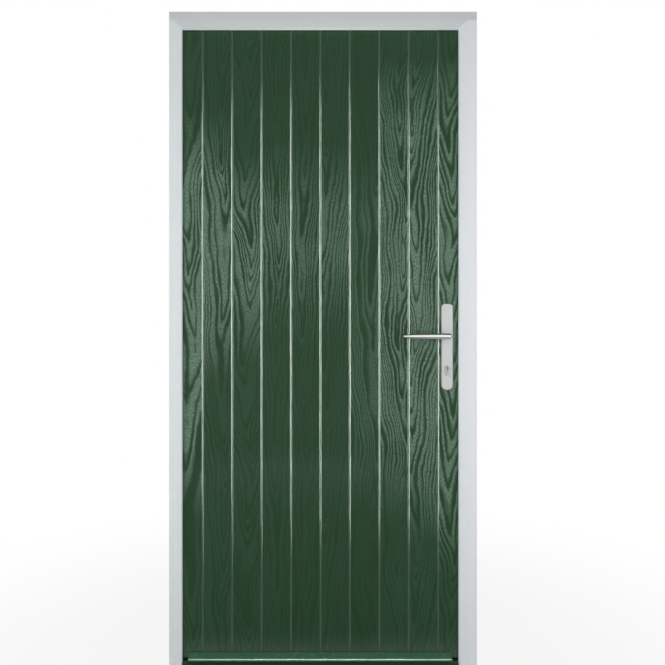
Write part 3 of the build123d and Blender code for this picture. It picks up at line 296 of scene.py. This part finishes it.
@dataclass(frozen=True)
class WoodgrainPaint:
    """Semi-gloss green paint over moulded wood grain.

    The mesh carries three attributes: ring, which counts growth rings, figure_and_sheen, the strength of the grain
    there together with painted sheen, and groove, which is 1 in a groove. Within each ring a rough, stippled light
    band rises sharply and fades into a smooth dark line. The light band is painted lighter than the paint as painted
    sheen on the grain, and the slopes of the grooves are painted lighter as a painted highlight.

    Attributes:
        slot: material slot of the record that it dresses.
        dark: colour of the dark lines.
        light: colour of the light bands, lighter than the paint as painted sheen on the grain.
        slope: colour in the grooves, lighter than the paint as a painted highlight on their slopes.
        smooth: roughness of the dark lines.
        rough: roughness of the light bands.
        groove_rough: roughness in the grooves, as a share of the way from smooth to rough.
        specular: strength of the clear reflection.
        depth: relief of the grain in metres.
        fuzz: noise that frays the edges of the bands.
        fray: how far it moves them, in rings.
        rise: where in its ring a band starts and is full.
        fall: where in its ring a band starts to fade and has ended.
        slow: noise that makes the bands wide and narrow.
        slow_span: that noise at the widest and the narrowest band.
        narrowing: how far a band's end moves there, in rings.
        stipple: noise within the bands.
        stipple_span: that noise where a band is weakest and strongest.
        stipple_share: strength of a band at those two.
        pores: fine noise in the relief.
        pore_base: relief of a band without pores.
    """

    slot: str = "green_skin"
    dark: Colour = (0.0165, 0.057, 0.0220)
    # The light colour is painted sheen on the grain, not a colour of the paint itself.
    light: Colour = (0.150, 0.260, 0.178)
    # The slope colour is a painted highlight in the grooves.
    slope: Colour = (0.060, 0.115, 0.072)
    smooth: float = 0.12
    rough: float = 0.34
    groove_rough: float = 0.35
    specular: float = 0.45
    depth: float = 0.00025
    fuzz: Streaks = Streaks(0.12, 420.0)
    fray: float = 0.35
    rise: Range = (0.0, 0.16)
    fall: Range = (0.40, 0.86)
    slow: Streaks = Streaks(0.25, 22.0, detail=2.0, rough=0.5)
    slow_span: Range = (0.3, 0.7)
    narrowing: Range = (-0.22, 0.16)
    stipple: Streaks = Streaks(0.22, 640.0, rough=0.65)
    stipple_span: Range = (0.34, 0.62)
    stipple_share: Range = (0.15, 1.0)
    pores: Streaks = Streaks(0.05, 700.0)
    pore_base: float = 0.6

    def bands(self, graph: Graph) -> Socket:
        """Light bands of the rings.

        Args:
            graph: tree to build in.

        Returns:
            The bands between 0 and 1: a rise times a fall over the fraction of the frayed ring count.
        """
        frayed = graph.math("MULTIPLY", self.fuzz.noise(graph), self.fray)
        phase = graph.math("FRACT", graph.math("ADD", graph.attribute("ring"), frayed))
        narrower = graph.span(self.slow.noise(graph), self.slow_span, self.narrowing)
        fall = graph.span(graph.math("ADD", phase, narrower), self.fall, (1.0, 0.0))
        return graph.math("MULTIPLY", graph.span(phase, self.rise), fall)

    def material(self) -> bpy.types.Material:
        """Builds the paint.

        Returns:
            The material, made of the bands, a stipple within them and fine pores along the grain.
        """
        made, graph = blank_material(self.slot)
        groove = graph.attribute("groove")
        speck = graph.span(self.stipple.noise(graph), self.stipple_span, self.stipple_share)
        band = graph.math("MULTIPLY", self.bands(graph), speck)
        # Painted sheen: the light bands' lighter colour follows the grain and is scaled by figure_and_sheen.
        light = graph.math("MULTIPLY", band, graph.attribute("figure_and_sheen"))
        relief = graph.math("MULTIPLY", light, graph.math("ADD", self.pores.noise(graph), self.pore_base))
        uneven = graph.math("MAXIMUM", light, graph.math("MULTIPLY", groove, self.groove_rough))
        graph.surface({
            # Painted highlight: the grooves take the lighter slope colour.
            "Base Color": graph.blend(groove, graph.blend(light, self.dark, self.light), self.slope),
            "Roughness": graph.span(uneven, UNIT, (self.smooth, self.rough)),
            "Specular IOR Level": self.specular,
            "Normal": graph.bump(relief, self.depth),
        })
        return made


METAL = {"metallic": 1.0, "scale": 1500.0, "depth": 0.000015}
UPRIGHT = {"pattern": Pattern.DRAWN_Z, **METAL}
ACROSS = {"pattern": Pattern.DRAWN_X, **METAL}
TURNED = {"pattern": Pattern.DRAWN_Y, **METAL}
# Slot, dark and light colour, and roughness of each finish, and then what is special to it.
FINISHES = (
    Finish("frame_pvc", (0.67, 0.705, 0.72), (0.71, 0.74, 0.755), (0.45, 0.55),
           specular=0.3, scale=500.0, depth=0.00002),
    Finish("galvanised_steel", (0.40, 0.43, 0.45), (0.60, 0.63, 0.65), (0.35, 0.55),
           metallic=1.0, pattern=Pattern.SPANGLE, scale=90.0),
    Finish("seal_rubber", (0.012, 0.013, 0.014), (0.028, 0.029, 0.031), (0.55, 0.75), specular=0.3, scale=1200.0),
    Finish("threshold_aluminium", (0.024, 0.062, 0.032), (0.032, 0.078, 0.041), (0.35, 0.50),
           pattern=Pattern.DRAWN_X, scale=1500.0, depth=0.000015),
    Finish("keep_steel", (0.52, 0.53, 0.54), (0.66, 0.67, 0.68), (0.24, 0.38), **UPRIGHT),
    Finish("screw_steel", (0.50, 0.50, 0.50), (0.66, 0.66, 0.66), (0.20, 0.34), **METAL),
    Finish("hinge_metal", (0.56, 0.57, 0.58), (0.68, 0.69, 0.70), (0.26, 0.40), **UPRIGHT),
    Finish("pin_steel", (0.64, 0.64, 0.65), (0.75, 0.75, 0.76), (0.08, 0.18), **TURNED),
    Finish("foam", (0.70, 0.64, 0.44), (0.84, 0.79, 0.60), (0.75, 0.95),
           pattern=Pattern.CELLS, scale=700.0, depth=0.0003),
    Finish("edge_timber", (0.015, 0.042, 0.021), (0.024, 0.060, 0.031), (0.28, 0.45),
           pattern=Pattern.FIBRES, depth=0.0001),
    # The weather bar's green is lighter than the leaf's as painted light on its upward-facing slope.
    Finish("weather_bar_green", (0.055, 0.178, 0.088), (0.061, 0.192, 0.096), (0.24, 0.28),
           scale=1300.0, depth=0.00003),
    Finish("bush_nylon", (0.68, 0.68, 0.66), (0.78, 0.78, 0.76), (0.35, 0.50), scale=800.0),
    Finish("faceplate_steel", (0.54, 0.54, 0.55), (0.69, 0.69, 0.70), (0.24, 0.36), **UPRIGHT),
    Finish("case_steel", (0.42, 0.43, 0.45), (0.56, 0.57, 0.58), (0.34, 0.50),
           metallic=1.0, pattern=Pattern.SPANGLE, scale=220.0),
    Finish("plate_satin", (0.50, 0.505, 0.505), (0.56, 0.565, 0.565), (0.44, 0.50), **UPRIGHT),
    Finish("lever_polished", (0.78, 0.81, 0.79), (0.86, 0.89, 0.87), (0.07, 0.11), **ACROSS),
    Finish("bolt_metal", (0.58, 0.58, 0.59), (0.72, 0.72, 0.73), (0.16, 0.26), **ACROSS),
    Finish("cylinder_metal", (0.36, 0.36, 0.35), (0.46, 0.46, 0.45), (0.18, 0.28), **TURNED),
    Finish("rail_steel", (0.46, 0.47, 0.48), (0.60, 0.61, 0.62), (0.30, 0.44), **UPRIGHT),
    WoodgrainPaint(),
)


def sheet_mesh(
    name: str, points: np.ndarray, shown: np.ndarray, facts: dict[str, np.ndarray]
) -> bpy.types.Object:
    """Makes an object from a two-parameter grid of points.

    Args:
        name: object name.
        points: array of rows, columns and three coordinates, wound so that faces look outward.
        shown: True for each grid cell that becomes a face.
        facts: float attributes with one value a point.

    Returns:
        The linked, smooth-shaded object, without the points that no face uses.
    """
    rows, columns = points.shape[:2]
    index = np.arange(rows * columns).reshape(rows, columns)
    corners = np.stack((index[:-1, :-1], index[:-1, 1:], index[1:, 1:], index[1:, :-1]), axis=-1)[shown]
    used, corners = np.unique(corners.ravel(), return_inverse=True)
    corners = corners.reshape(-1, 4)
    mesh = bpy.data.meshes.new(name)
    mesh.vertices.add(len(used))
    mesh.vertices.foreach_set("co", points.reshape(-1, 3)[used].astype(np.float32).ravel())
    mesh.loops.add(corners.size)
    mesh.loops.foreach_set("vertex_index", corners.astype(np.int32).ravel())
    mesh.polygons.add(len(corners))
    mesh.polygons.foreach_set("loop_start", np.arange(0, corners.size, 4, dtype=np.int32))
    mesh.polygons.foreach_set("use_smooth", np.ones(len(corners), dtype=bool))
    for key, values in facts.items():
        attribute = mesh.attributes.new(key, "FLOAT", "POINT")
        attribute.data.foreach_set("value", values.ravel()[used].astype(np.float32))
    mesh.update(calc_edges=True)
    mesh.validate()
    made = bpy.data.objects.new(name, mesh)
    bpy.context.scene.collection.objects.link(made)
    return made


@dataclass(frozen=True)
class Plank:
    """Growth rings on one plank, as a tapering trunk cut by the face (lengths in mm).

    Attributes:
        apex: place of the ring tips across the plank, from its middle.
        pith: distance from the trunk's centre to the face, which rounds the tips.
        taper: growth of a ring for each mm of height; tips point down where it is positive.
        spacing: distance between rings.
        sway: side sway of the tips up the plank.
        wave: length of that sway.
        turn: where in the wave the sway starts, as a share of a turn.
        strength: strength of the grain, which also carries painted sheen, set highest on the outer planks.
        foot: height where the strong grain and its painted sheen start.
        top: height where they end.
        bunch: how much the rings gather into wide and narrow ones, where 0 is even.
    """

    apex: float
    pith: float
    taper: float
    spacing: float
    sway: float
    wave: float
    turn: float
    strength: float
    foot: float
    top: float
    bunch: float


# Apex, pith, taper, spacing, sway, wave, turn, strength, foot, top and bunch of each plank, from the left.
# The strengths are highest on the planks near the jambs and lowest in the middle, as painted sheen on the grain.
PLANKS = (
    Plank(-8.0, 6.0, 0.120, 21.0, 15.0, 900.0, 0.10, 1.00, 480.0, 1720.0, 1.0),
    Plank(18.0, 5.0, 0.090, 13.0, 7.0, 760.0, 0.35, 0.85, 900.0, 1700.0, 1.0),
    Plank(2.0, 5.0, 0.190, 16.0, 13.0, 640.0, 0.00, 0.78, 960.0, 1580.0, 1.0),
    Plank(0.0, 4.0, 0.060, 12.0, 6.0, 1100.0, 0.60, 0.62, 1050.0, 1620.0, 0.6),
    Plank(-6.0, 6.0, 0.050, 12.0, 8.0, 1250.0, 0.20, 0.52, 1000.0, 1620.0, 0.8),
    Plank(-34.0, 8.0, 0.080, 11.0, 8.0, 980.0, 0.75, 0.60, 1040.0, 1600.0, 0.5),
    Plank(30.0, 7.0, 0.065, 12.0, 11.0, 830.0, 0.45, 0.38, 500.0, 1580.0, 1.0),
    Plank(26.0, 6.0, 0.075, 9.5, 12.0, 700.0, 0.15, 0.80, 480.0, 1880.0, 0.7),
    Plank(-30.0, 7.0, 0.110, 11.5, 12.0, 820.0, 0.55, 1.00, 400.0, 1880.0, 0.6),
    Plank(4.0, 5.0, 0.200, 17.0, 9.0, 560.0, 0.30, 1.00, 280.0, 1880.0, 0.3),
)

# Second, shorter sway of the ring tips: its size, its length and its start, each times the first one's.
SWAY_SHARE, WAVE_SHARE, START_SHARE = 0.4, 0.37, 2.1
# Ripples that bend the rings: size in mm, mm up and mm across for each radian, and start, times the sway's.
RIPPLES = ((3.4, 61.0, 19.0, 1.0), (2.0, 27.0, -13.0, 3.0), (0.8, 10.5, 7.0, 5.0))
# Sines of the ring count that bunch the rings: size in rings, radians for each ring, and start, times the sway's.
BUNCHES = ((0.62, 0.8, 1.0), (0.30, 1.9, 2.0))
# Height in mm from which the taper of the trunk counts.
TAPER_HEIGHT = 1000.0
# The strong grain and its painted sheen fade in from this many mm outside its foot and top.
FADE_MARGIN = 60.0
# Length of that fade in mm, and the strength that is left beyond it, at the top and at the foot; the calm there is
# painted shade, which leaves the grain darker towards the top and the foot.
TOP_FADE, TOP_CALM = 240.0, 0.12
FOOT_FADE, FOOT_CALM = 300.0, 0.15
# Wander of a groove's line: size in metres, radians for each metre of height, and start.
WANDERS = ((0.00015, 23.0, 0.0), (0.0001, 61.0, 1.3))
# Grid lines at a groove's lip, in lip steps outward from its mouth.
LIP_STEPS = (-2, -1, 0, 1, 3)
# Where the lip's soft tail ends, in the same steps, and over how many of them it fades out.
TAIL_STEPS, TAIL_FADE_STEPS = 4, 2
# Grid lines on the round border, as shares of its rounding.
BORDER_SHARES = (0.0, 0.1, 0.35, 1.0)
# Digits of a metre that tell two grid lines apart.
GRID_DIGITS = 7


@dataclass
class GroovedSkin:
    """Moulded skin of one face of the leaf, with V-grooves between its planks.

    The surface is a grid over x and z. Its depth behind the face is that of the nearest groove, a flat floor between
    two straight slopes with rounded lips, or of the round edge at the border, whichever is deeper. The grid's last
    line all round turns back by the skin's thickness.

    Attributes:
        side: face of the leaf.
        node: CAD node that it stands for.
        plate: CAD node of the handle plate that hides the lock's cut-outs.
        first_groove: place of the first groove.
        pitch: distance between grooves.
        grooves: number of grooves.
        mouth: width of a groove at the face.
        floor: width of its floor.
        deep: depth of its floor.
        lip: grid step at its lips.
        seam: where planks and grooves part, in lip steps outward from the mouth.
        round: rounding of its lips.
        edge: rounding of the border.
        thick: thickness of the skin at the border.
        tuck: how far the skin goes on under the handle plate.
        column: grid step across.
        row: grid step up.
    """

    side: Side
    node: str
    plate: str
    first_groove: float = -0.3785
    pitch: float = 0.0925
    grooves: int = 9
    mouth: float = 0.006
    floor: float = 0.0012
    deep: float = 0.002
    lip: float = 0.0004
    seam: float = 3.5
    round: float = 0.0006
    edge: float = 0.0012
    thick: float = 0.0022
    tuck: float = 0.005
    column: float = 0.0031
    row: float = 0.0085

    def centres(self) -> np.ndarray:
        """Places of the grooves across the leaf."""
        return self.first_groove + self.pitch * np.arange(self.grooves)

    def away(self, x: np.ndarray, wander: Union[float, np.ndarray] = 0.0) -> np.ndarray:
        """Distance to the middle of the nearest groove, where its line is moved across by the wander."""
        return np.abs(x[..., None] - self.centres() - np.asarray(wander)[..., None]).min(-1)

    def tail(self) -> float:
        """Distance from a groove's middle at which its soft lip has ended."""
        return self.mouth / 2 + TAIL_STEPS * self.lip

    def lines(self) -> tuple[np.ndarray, np.ndarray]:
        """Grid lines: even steps, with close ones at each groove and at the border.

        Returns:
            The places of the lines across, and the heights of the lines up.
        """
        low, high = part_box(self.node)
        half, flat = self.mouth / 2, self.floor / 2
        steps = np.concatenate(((0.0, flat, flat + self.lip), half + self.lip * np.array(LIP_STEPS)))
        near = (self.centres()[:, None] + np.concatenate((-steps, steps))).ravel()
        even = np.arange(low.x + self.edge, high.x - self.edge, self.column)
        border = self.edge * np.array(BORDER_SHARES)
        across = (low.x + border, even[self.away(even) > self.tail()], near, high.x - border)
        up = (low.z + border, np.arange(low.z + self.row, high.z - self.row, self.row), high.z - border)
        return tuple(np.unique(np.concatenate(parts).round(GRID_DIGITS)) for parts in (across, up))

    def depth(self, x: np.ndarray, z: np.ndarray) -> np.ndarray:
        """Depth of the surface behind the face.

        Args:
            x: places across, any shape.
            z: heights, the same shape.

        Returns:
            Depths. A slope falls from the mouth to the floor in a straight line, rounded at the lip by a square root
            whose tail fades out on the flat.
        """
        low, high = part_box(self.node)
        half, flat = self.mouth / 2, self.floor / 2
        away = self.away(x, sum(size * np.sin(z * rate + start) for size, rate, start in WANDERS))
        slope = self.deep / (half - flat)
        fall = (half - away) * slope
        soft = 0.5 * (fall + np.sqrt(fall**2 + (self.round * slope * 0.5) ** 2))
        fade = np.clip((self.tail() - away) / (TAIL_FADE_STEPS * self.lip), 0.0, 1.0)
        groove = np.minimum(soft, self.deep) * fade
        rim = np.minimum(np.minimum(x - low.x, high.x - x), np.minimum(z - low.z, high.z - z))
        inside = np.clip(self.edge - rim, 0.0, self.edge)
        return np.maximum(groove, self.edge - np.sqrt(self.edge**2 - inside**2))

    def figure_and_sheen(self, x: np.ndarray, z: np.ndarray) -> dict[str, np.ndarray]:
        """Ring count, grain strength with its painted sheen, and place of the grooves.

        Args:
            x: places across, any shape.
            z: heights, the same shape.

        Returns:
            Three arrays by name. The ring count is the distance to the trunk's centre less the taper times the
            height, bent by slow waves, divided by the ring spacing and bunched by two sines of itself into wide and
            narrow rings. The grain's strength is nil in the grooves, carries painted sheen that is strongest on the
            outer planks, and is calm near the top and the foot, which paints the grain darker there as painted shade.
            The groove is 1 in the grooves, falls off over a lip's step, and is 0 elsewhere.
        """
        low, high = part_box(self.node)
        edges = np.concatenate(((low.x,), self.centres(), (high.x,)))
        which = np.clip(np.searchsorted(edges, x) - 1, 0, len(PLANKS) - 1)
        middle = ((edges[:-1] + edges[1:]) / 2)[which]
        table = np.array([astuple(plank) for plank in PLANKS])[which]
        apex, pith, taper, spacing, sway, wave, turn, strength, foot, top, bunch = np.moveaxis(table, -1, 0)
        u, h = (x - middle) * MM_PER_METRE, z * MM_PER_METRE
        start = FULL_TURN * turn + which
        turned = FULL_TURN * h
        bend = sway * np.sin(turned / wave + start)
        bend = bend + SWAY_SHARE * sway * np.sin(turned / (WAVE_SHARE * wave) + START_SHARE * start)
        ripple = sum(size * np.sin(h / rise + u / run + times * start) for size, rise, run, times in RIPPLES)
        distance = np.sqrt((u - apex - bend) ** 2 + pith**2)
        rings = (distance - taper * (h - TAPER_HEIGHT) + ripple) / spacing
        rings = rings + bunch * sum(size * np.sin(rate * rings + times * start) for size, rate, times in BUNCHES)
        # Painted shade: the grain's lighter colour is calmed towards the top and the foot.
        below_top = np.clip((top + FADE_MARGIN - h) / TOP_FADE, TOP_CALM, 1.0)
        above_foot = np.clip((h - foot + FADE_MARGIN) / FOOT_FADE, FOOT_CALM, 1.0)
        away = self.away(x)
        return {
            "ring": rings,
            "figure_and_sheen": strength * (below_top * above_foot) * (away > self.mouth / 2),
            "groove": np.clip((self.mouth / 2 - away) / self.lip, 0.0, 1.0),
        }

    def covered(self, x: np.ndarray, z: np.ndarray) -> np.ndarray:
        """True for points well under the handle plate.

        Args:
            x: places across, any shape.
            z: heights, the same shape.

        Returns:
            True inside the plate's outline, less the tuck all round.
        """
        low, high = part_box(self.plate)
        under_x = (x > low.x + self.tuck) & (x < high.x - self.tuck)
        under_z = (z > low.z + self.tuck) & (z < high.z - self.tuck)
        return under_x & under_z

    def build(self) -> list[bpy.types.Object]:
        """Builds the skin as its planks and its grooves, and hides the CAD node that they stand for.

        Returns:
            The two pieces, which meet on the flat just outside the grooves.
        """
        low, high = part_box(self.node)
        x, z = np.meshgrid(*self.lines())
        face = low.y if self.side is Side.OUTER else high.y
        y = face - self.side.value * self.depth(x, z)
        facts = {key: np.pad(values, 1, mode="edge") for key, values in self.figure_and_sheen(x, z).items()}
        x, z = (np.pad(values, 1, mode="edge") for values in (x, z))
        y = np.pad(y, 1, constant_values=face - self.side.value * self.thick)
        points = np.stack((x, y, z), axis=-1)
        under = self.covered(x, z)
        shown = ~(under[:-1, :-1] & under[1:, 1:])
        near = self.away(x) < self.mouth / 2 + self.seam * self.lip
        grooved = near[:-1, :-1] & near[1:, 1:]
        if self.side is Side.INNER:
            points, shown, grooved = (values[:, ::-1] for values in (points, shown, grooved))
            facts = {key: values[:, ::-1] for key, values in facts.items()}
        planks = sheet_mesh(self.node + "_planks", points, shown & ~grooved, facts)
        grooves = sheet_mesh(self.node + "_grooves", points, shown & grooved, facts)
        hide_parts(self.node)
        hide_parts(self.node)
        return [planks, grooves]


@dataclass
class DoorLeaf:
    """The swinging leaf with its two moulded skins.

    Attributes:
        body: CAD body that it rides on.
    """

    body: str = "door_leaf"

    def build(self, finishes: dict[str, bpy.types.Material]) -> list[bpy.types.Object]:
        """Builds and dresses both skins.

        Args:
            finishes: materials by slot.

        Returns:
            The grooves of both skins.
        """
        outer = GroovedSkin(Side.OUTER, "outer_skin", "outer_handle_plate").build()
        inner = GroovedSkin(Side.INNER, "inner_skin", "inner_handle_plate").build()
        for made in outer + inner:
            made.data.materials.append(finishes["green_skin"])
            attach(made, self.body)
            LOG.info("built %s with %d faces", made.name, len(made.data.polygons))
        return [outer[1], inner[1]]


@dataclass
class CadDress:
    """Puts each CAD node's finish on it."""

    def dress(self, finishes: dict[str, bpy.types.Material]) -> None:
        """Dresses every node by the slot that the record gives it.

        Args:
            finishes: materials by slot.
        """
        for part in frame["record"]["subparts"]:
            data = frame["nodes"][part["node"]].data
            data.materials.clear()
            data.materials.append(finishes[part["material_slot"]])


@dataclass(frozen=True)
class Softbox:
    """A rectangular lamp.

    Attributes:
        name: lamp name.
        place: its centre.
        aim: the point that it faces.
        wide: its width.
        tall: its height.
        glow: its brightness, where 1 is white.
        fan: angle in degrees over which its grid lets light out.
        role: what it lights.
        tint: its colour.
    """

    name: str
    place: Vector
    aim: Vector
    wide: float
    tall: float
    glow: float
    fan: float
    role: Role
    tint: Colour = WHITE

    def build(self, groups: dict[str, bpy.types.Collection]) -> None:
        """Makes the lamp. Its power is its brightness times its area and pi.

        Args:
            groups: pieces that a lamp may be kept to, by name.
        """
        lamp = bpy.data.lights.new(self.name, "AREA")
        lamp.shape = "RECTANGLE"
        lamp.size, lamp.size_y = self.wide, self.tall
        lamp.energy = self.glow * self.wide * self.tall * math.pi
        lamp.spread = math.radians(self.fan)
        lamp.color = self.tint
        made = bpy.data.objects.new(self.name, lamp)
        toward = np.array(self.aim) - np.array(self.place)
        tilt = math.acos(-toward[2] / np.linalg.norm(toward))
        turn = math.atan2(toward[1], toward[0]) - math.pi / 2
        made.location = self.place
        made.rotation_euler = (tilt, 0.0, turn)
        made.visible_camera = False
        made.visible_diffuse, made.visible_glossy, group = self.role.value
        made.light_linking.receiver_collection = groups.get(group)
        made.light_linking.blocker_collection = groups.get(group)
        bpy.context.scene.collection.objects.link(made)


# Fan of a lamp without a grid, in degrees.
BARE = 180.0
# Tints of light that has come off the green leaf: on the frame, and in the grooves.
FRAME_TINT: Colour = (0.92, 1.0, 0.94)
GROOVE_TINT: Colour = (0.90, 1.0, 0.92)
# Name, place, aim, width, height, glow, fan, role and tint of each lamp.
LAMPS = (
    Softbox("front", (0.0, -3.4, 0.9), (0.0, 0.0, 1.0), 2.4, 2.6, 1.95, BARE, Role.MATT),
    Softbox("reveal_left", (-1.7, -0.8, 1.05), (0.0, -0.03, 1.0), 0.40, 2.0, 3.2, BARE, Role.JAMBS),
    Softbox("reveal_right", (1.7, -0.8, 1.05), (0.0, -0.03, 1.0), 0.40, 2.0, 4.2, BARE, Role.JAMBS),
    Softbox("inner_left", (-1.2, 0.25, 1.0), (0.44, -0.037, 1.0), 0.40, 2.0, 5.0, BARE,
            Role.LOCK_JAMB, FRAME_TINT),
    Softbox("inner_right", (1.2, 0.25, 1.0), (-0.44, -0.037, 1.0), 0.40, 2.0, 5.0, BARE,
            Role.HINGE_JAMB, FRAME_TINT),
    Softbox("front_left", (-1.25, -2.0, 1.12), (0.0, 0.0, 1.0), 0.40, 2.0, 1.1, 90.0, Role.LIGHT),
    Softbox("front_right", (1.25, -2.0, 1.12), (0.0, 0.0, 1.0), 0.40, 2.0, 1.1, 90.0, Role.LIGHT),
    Softbox("strip_left", (-1.15, -0.58, 1.06), (0.0, -0.05, 1.08), 0.7, 2.3, 3.4, 68.0,
            Role.GROOVE, GROOVE_TINT),
    Softbox("strip_right", (1.15, -0.58, 1.16), (0.0, -0.05, 1.06), 0.7, 2.18, 3.0, 64.0,
            Role.GROOVE, GROOVE_TINT),
    Softbox("strip_back_left", (-1.15, 0.58, 1.10), (0.0, 0.05, 1.10), 0.7, 2.18, 2.0, 64.0, Role.GROOVE),
    Softbox("strip_back_right", (1.15, 0.58, 1.10), (0.0, 0.05, 1.10), 0.7, 2.18, 2.0, 64.0, Role.GROOVE),
    Softbox("panel", (0.0, -1.7, 1.55), (0.0, 0.0, 1.2), 1.6, 2.8, 0.70, BARE, Role.METAL),
    Softbox("nose", (0.0, -1.25, 2.40), (0.0, -0.05, 0.03), 2.0, 0.5, 11.0, 120.0, Role.BAR),
    Softbox("bounce", (0.0, 0.45, 0.3), (0.0, -0.03, 2.0), 1.0, 0.25, 3.4, 60.0, Role.HEAD, FRAME_TINT),
    Softbox("top", (0.0, 0.6, 3.4), (0.0, 0.0, 2.0), 1.6, 0.8, 2.2, 150.0, Role.HEAD),
    Softbox("back_left", (-1.3, 2.3, 1.3), (0.0, 0.0, 1.0), 1.2, 2.2, 1.0, 150.0, Role.MATT),
    Softbox("back_right", (1.3, 2.3, 1.3), (0.0, 0.0, 1.0), 1.2, 2.2, 1.0, 150.0, Role.MATT),
)


@dataclass
class Studio:
    """Plain pale studio: floor, white background, soft lamps and the camera.

    Attributes:
        lamps: the lamps.
        floor_half: half the floor's width and depth.
        floor_grey: how pale the floor's paint is.
        floor_line: Y where the floor in front of the door ends and the floor behind it begins.
        floor_reach: distances from the door between which the door's shadow on the floor fades.
        floor_white: how white the floor is made at those two, where 1 is all white.
        fill: brightness of the studio all round, up to its dark ceiling.
        backdrop: Y of a direction where the white behind the door starts and is full.
        ceiling: Z of a direction where the ceiling starts and is full.
        ceiling_share: brightness of the ceiling as a share of the fill.
        eye: place of the camera, which looks along +Y.
        lens: focal length in mm.
        sensor: width of the camera's sensor in mm.
    """

    lamps: tuple[Softbox, ...] = LAMPS
    floor_half: float = 4.0
    floor_grey: float = 0.78
    floor_line: Range = (-0.26, -0.04)
    floor_reach: Range = (0.5, 2.0)
    floor_white: Range = (0.88, 1.0)
    fill: float = 0.37
    backdrop: Range = (0.2, 0.7)
    ceiling: Range = (0.4, 0.75)
    ceiling_share: float = 0.12
    eye: Vector = (0.02945, -2.048, 1.0447)
    lens: float = 34.9
    sensor: float = 36.0

    def seen(self, graph: Graph, behind: Socket) -> Socket:
        """Tells the rays that see the studio as white.

        Args:
            graph: tree to build in.
            behind: 1 behind the door, else 0.

        Returns:
            1 for rays from the camera and, behind the door, for rays off or through shiny and clear surfaces, else 0.
        """
        path = graph.add("ShaderNodeLightPath", {})
        second = graph.math("MAXIMUM", path.outputs["Is Glossy Ray"], path.outputs["Is Transmission Ray"])
        return graph.math("MAXIMUM", path.outputs["Is Camera Ray"], graph.math("MULTIPLY", second, behind))

    def floor(self) -> None:
        """Pale floor with the door's shadow, near white where the studio is seen as white."""
        ends = np.array((-self.floor_half, self.floor_half))
        x, y = np.meshgrid(ends, ends)
        made = sheet_mesh("floor", np.stack((x, y, 0.0 * x), axis=-1), np.ones((1, 1), dtype=bool), {})
        paint, graph = blank_material("floor_pale")
        place = graph.place()
        behind = graph.span(graph.axis(place, "Y"), self.floor_line)
        away = graph.add("ShaderNodeVectorMath", {0: place}, operation="LENGTH").outputs["Value"]
        paleness = graph.span(away, self.floor_reach, self.floor_white)
        share = graph.math("MULTIPLY", paleness, self.seen(graph, behind))
        plain = graph.add("ShaderNodeBsdfDiffuse", {"Color": (self.floor_grey,) * 3}).outputs["BSDF"]
        white = graph.add("ShaderNodeEmission", {"Color": WHITE, "Strength": 1.0}).outputs["Emission"]
        mixed = graph.add("ShaderNodeMixShader", {0: share, 1: plain, 2: white})
        graph.add("ShaderNodeOutputMaterial", {"Surface": mixed.outputs[0]})
        made.data.materials.append(paint)

    def world(self) -> None:
        """Dim fill all round, white for the camera and, behind the door, for shiny and clear surfaces."""
        world = bpy.data.worlds.new("studio")
        bpy.context.scene.world = world
        world.use_nodes = True
        graph = Graph(world.node_tree)
        heading = graph.add("ShaderNodeTexCoord", {}).outputs["Generated"]
        behind = graph.span(graph.axis(heading, "Y"), self.backdrop)
        level = graph.span(graph.axis(heading, "Z"), self.ceiling, (self.fill, self.ceiling_share * self.fill))
        dim = graph.add("ShaderNodeBackground", {"Color": WHITE, "Strength": level}).outputs[0]
        white = graph.add("ShaderNodeBackground", {"Color": WHITE, "Strength": 1.0}).outputs[0]
        mixed = graph.add("ShaderNodeMixShader", {0: self.seen(graph, behind), 1: dim, 2: white})
        graph.add("ShaderNodeOutputWorld", {"Surface": mixed.outputs[0]})

    def camera(self) -> None:
        """The camera of the picture, level and square to the door."""
        data = bpy.data.cameras.new("eye")
        data.sensor_width = self.sensor
        data.lens = self.lens
        made = bpy.data.objects.new("eye", data)
        made.location = self.eye
        made.rotation_euler = (math.pi / 2, 0.0, 0.0)
        bpy.context.scene.collection.objects.link(made)
        bpy.context.scene.camera = made

    def groups(self, grooves: list[bpy.types.Object]) -> dict[str, bpy.types.Collection]:
        """Gathers the pieces that lamps may be kept to.

        Args:
            grooves: grooves of both skins.

        Returns:
            The grooves and sets of CAD nodes, as collections by name.
        """
        nodes = frame["nodes"]
        jambs = [nodes["hinge_jamb"], nodes["lock_jamb"]]
        sets = {
            "grooves": grooves,
            "fittings": nodes.values(),
            "bar": [nodes["weather_bar"]],
            "jambs": jambs,
            "hinge_jamb": jambs[:1],
            "lock_jamb": jambs[1:],
            "head": [nodes["frame_head"]],
        }
        made = {name: bpy.data.collections.new(name) for name in sets}
        for name, pieces in sets.items():
            for piece in pieces:
                made[name].objects.link(piece)
        return made

    def build(self, grooves: list[bpy.types.Object]) -> None:
        """Sets up the whole studio round the door, with some lamps kept to some of its pieces.

        Args:
            grooves: grooves of both skins.
        """
        self.floor()
        self.world()
        self.camera()
        groups = self.groups(grooves)
        for lamp in self.lamps:
            lamp.build(groups)
        bpy.context.scene.view_settings.view_transform = "Standard"
        LOG.info("set up the studio with %d lamps", len(self.lamps))


def main() -> None:
    """Builds the looks in order."""
    logging.basicConfig(level=logging.INFO, format="%(message)s")
    finishes = {finish.slot: finish.material() for finish in FINISHES}
    CadDress().dress(finishes)
    grooves = DoorLeaf().build(finishes)
    Studio().build(grooves)


if __name__ == "__main__":
    main()
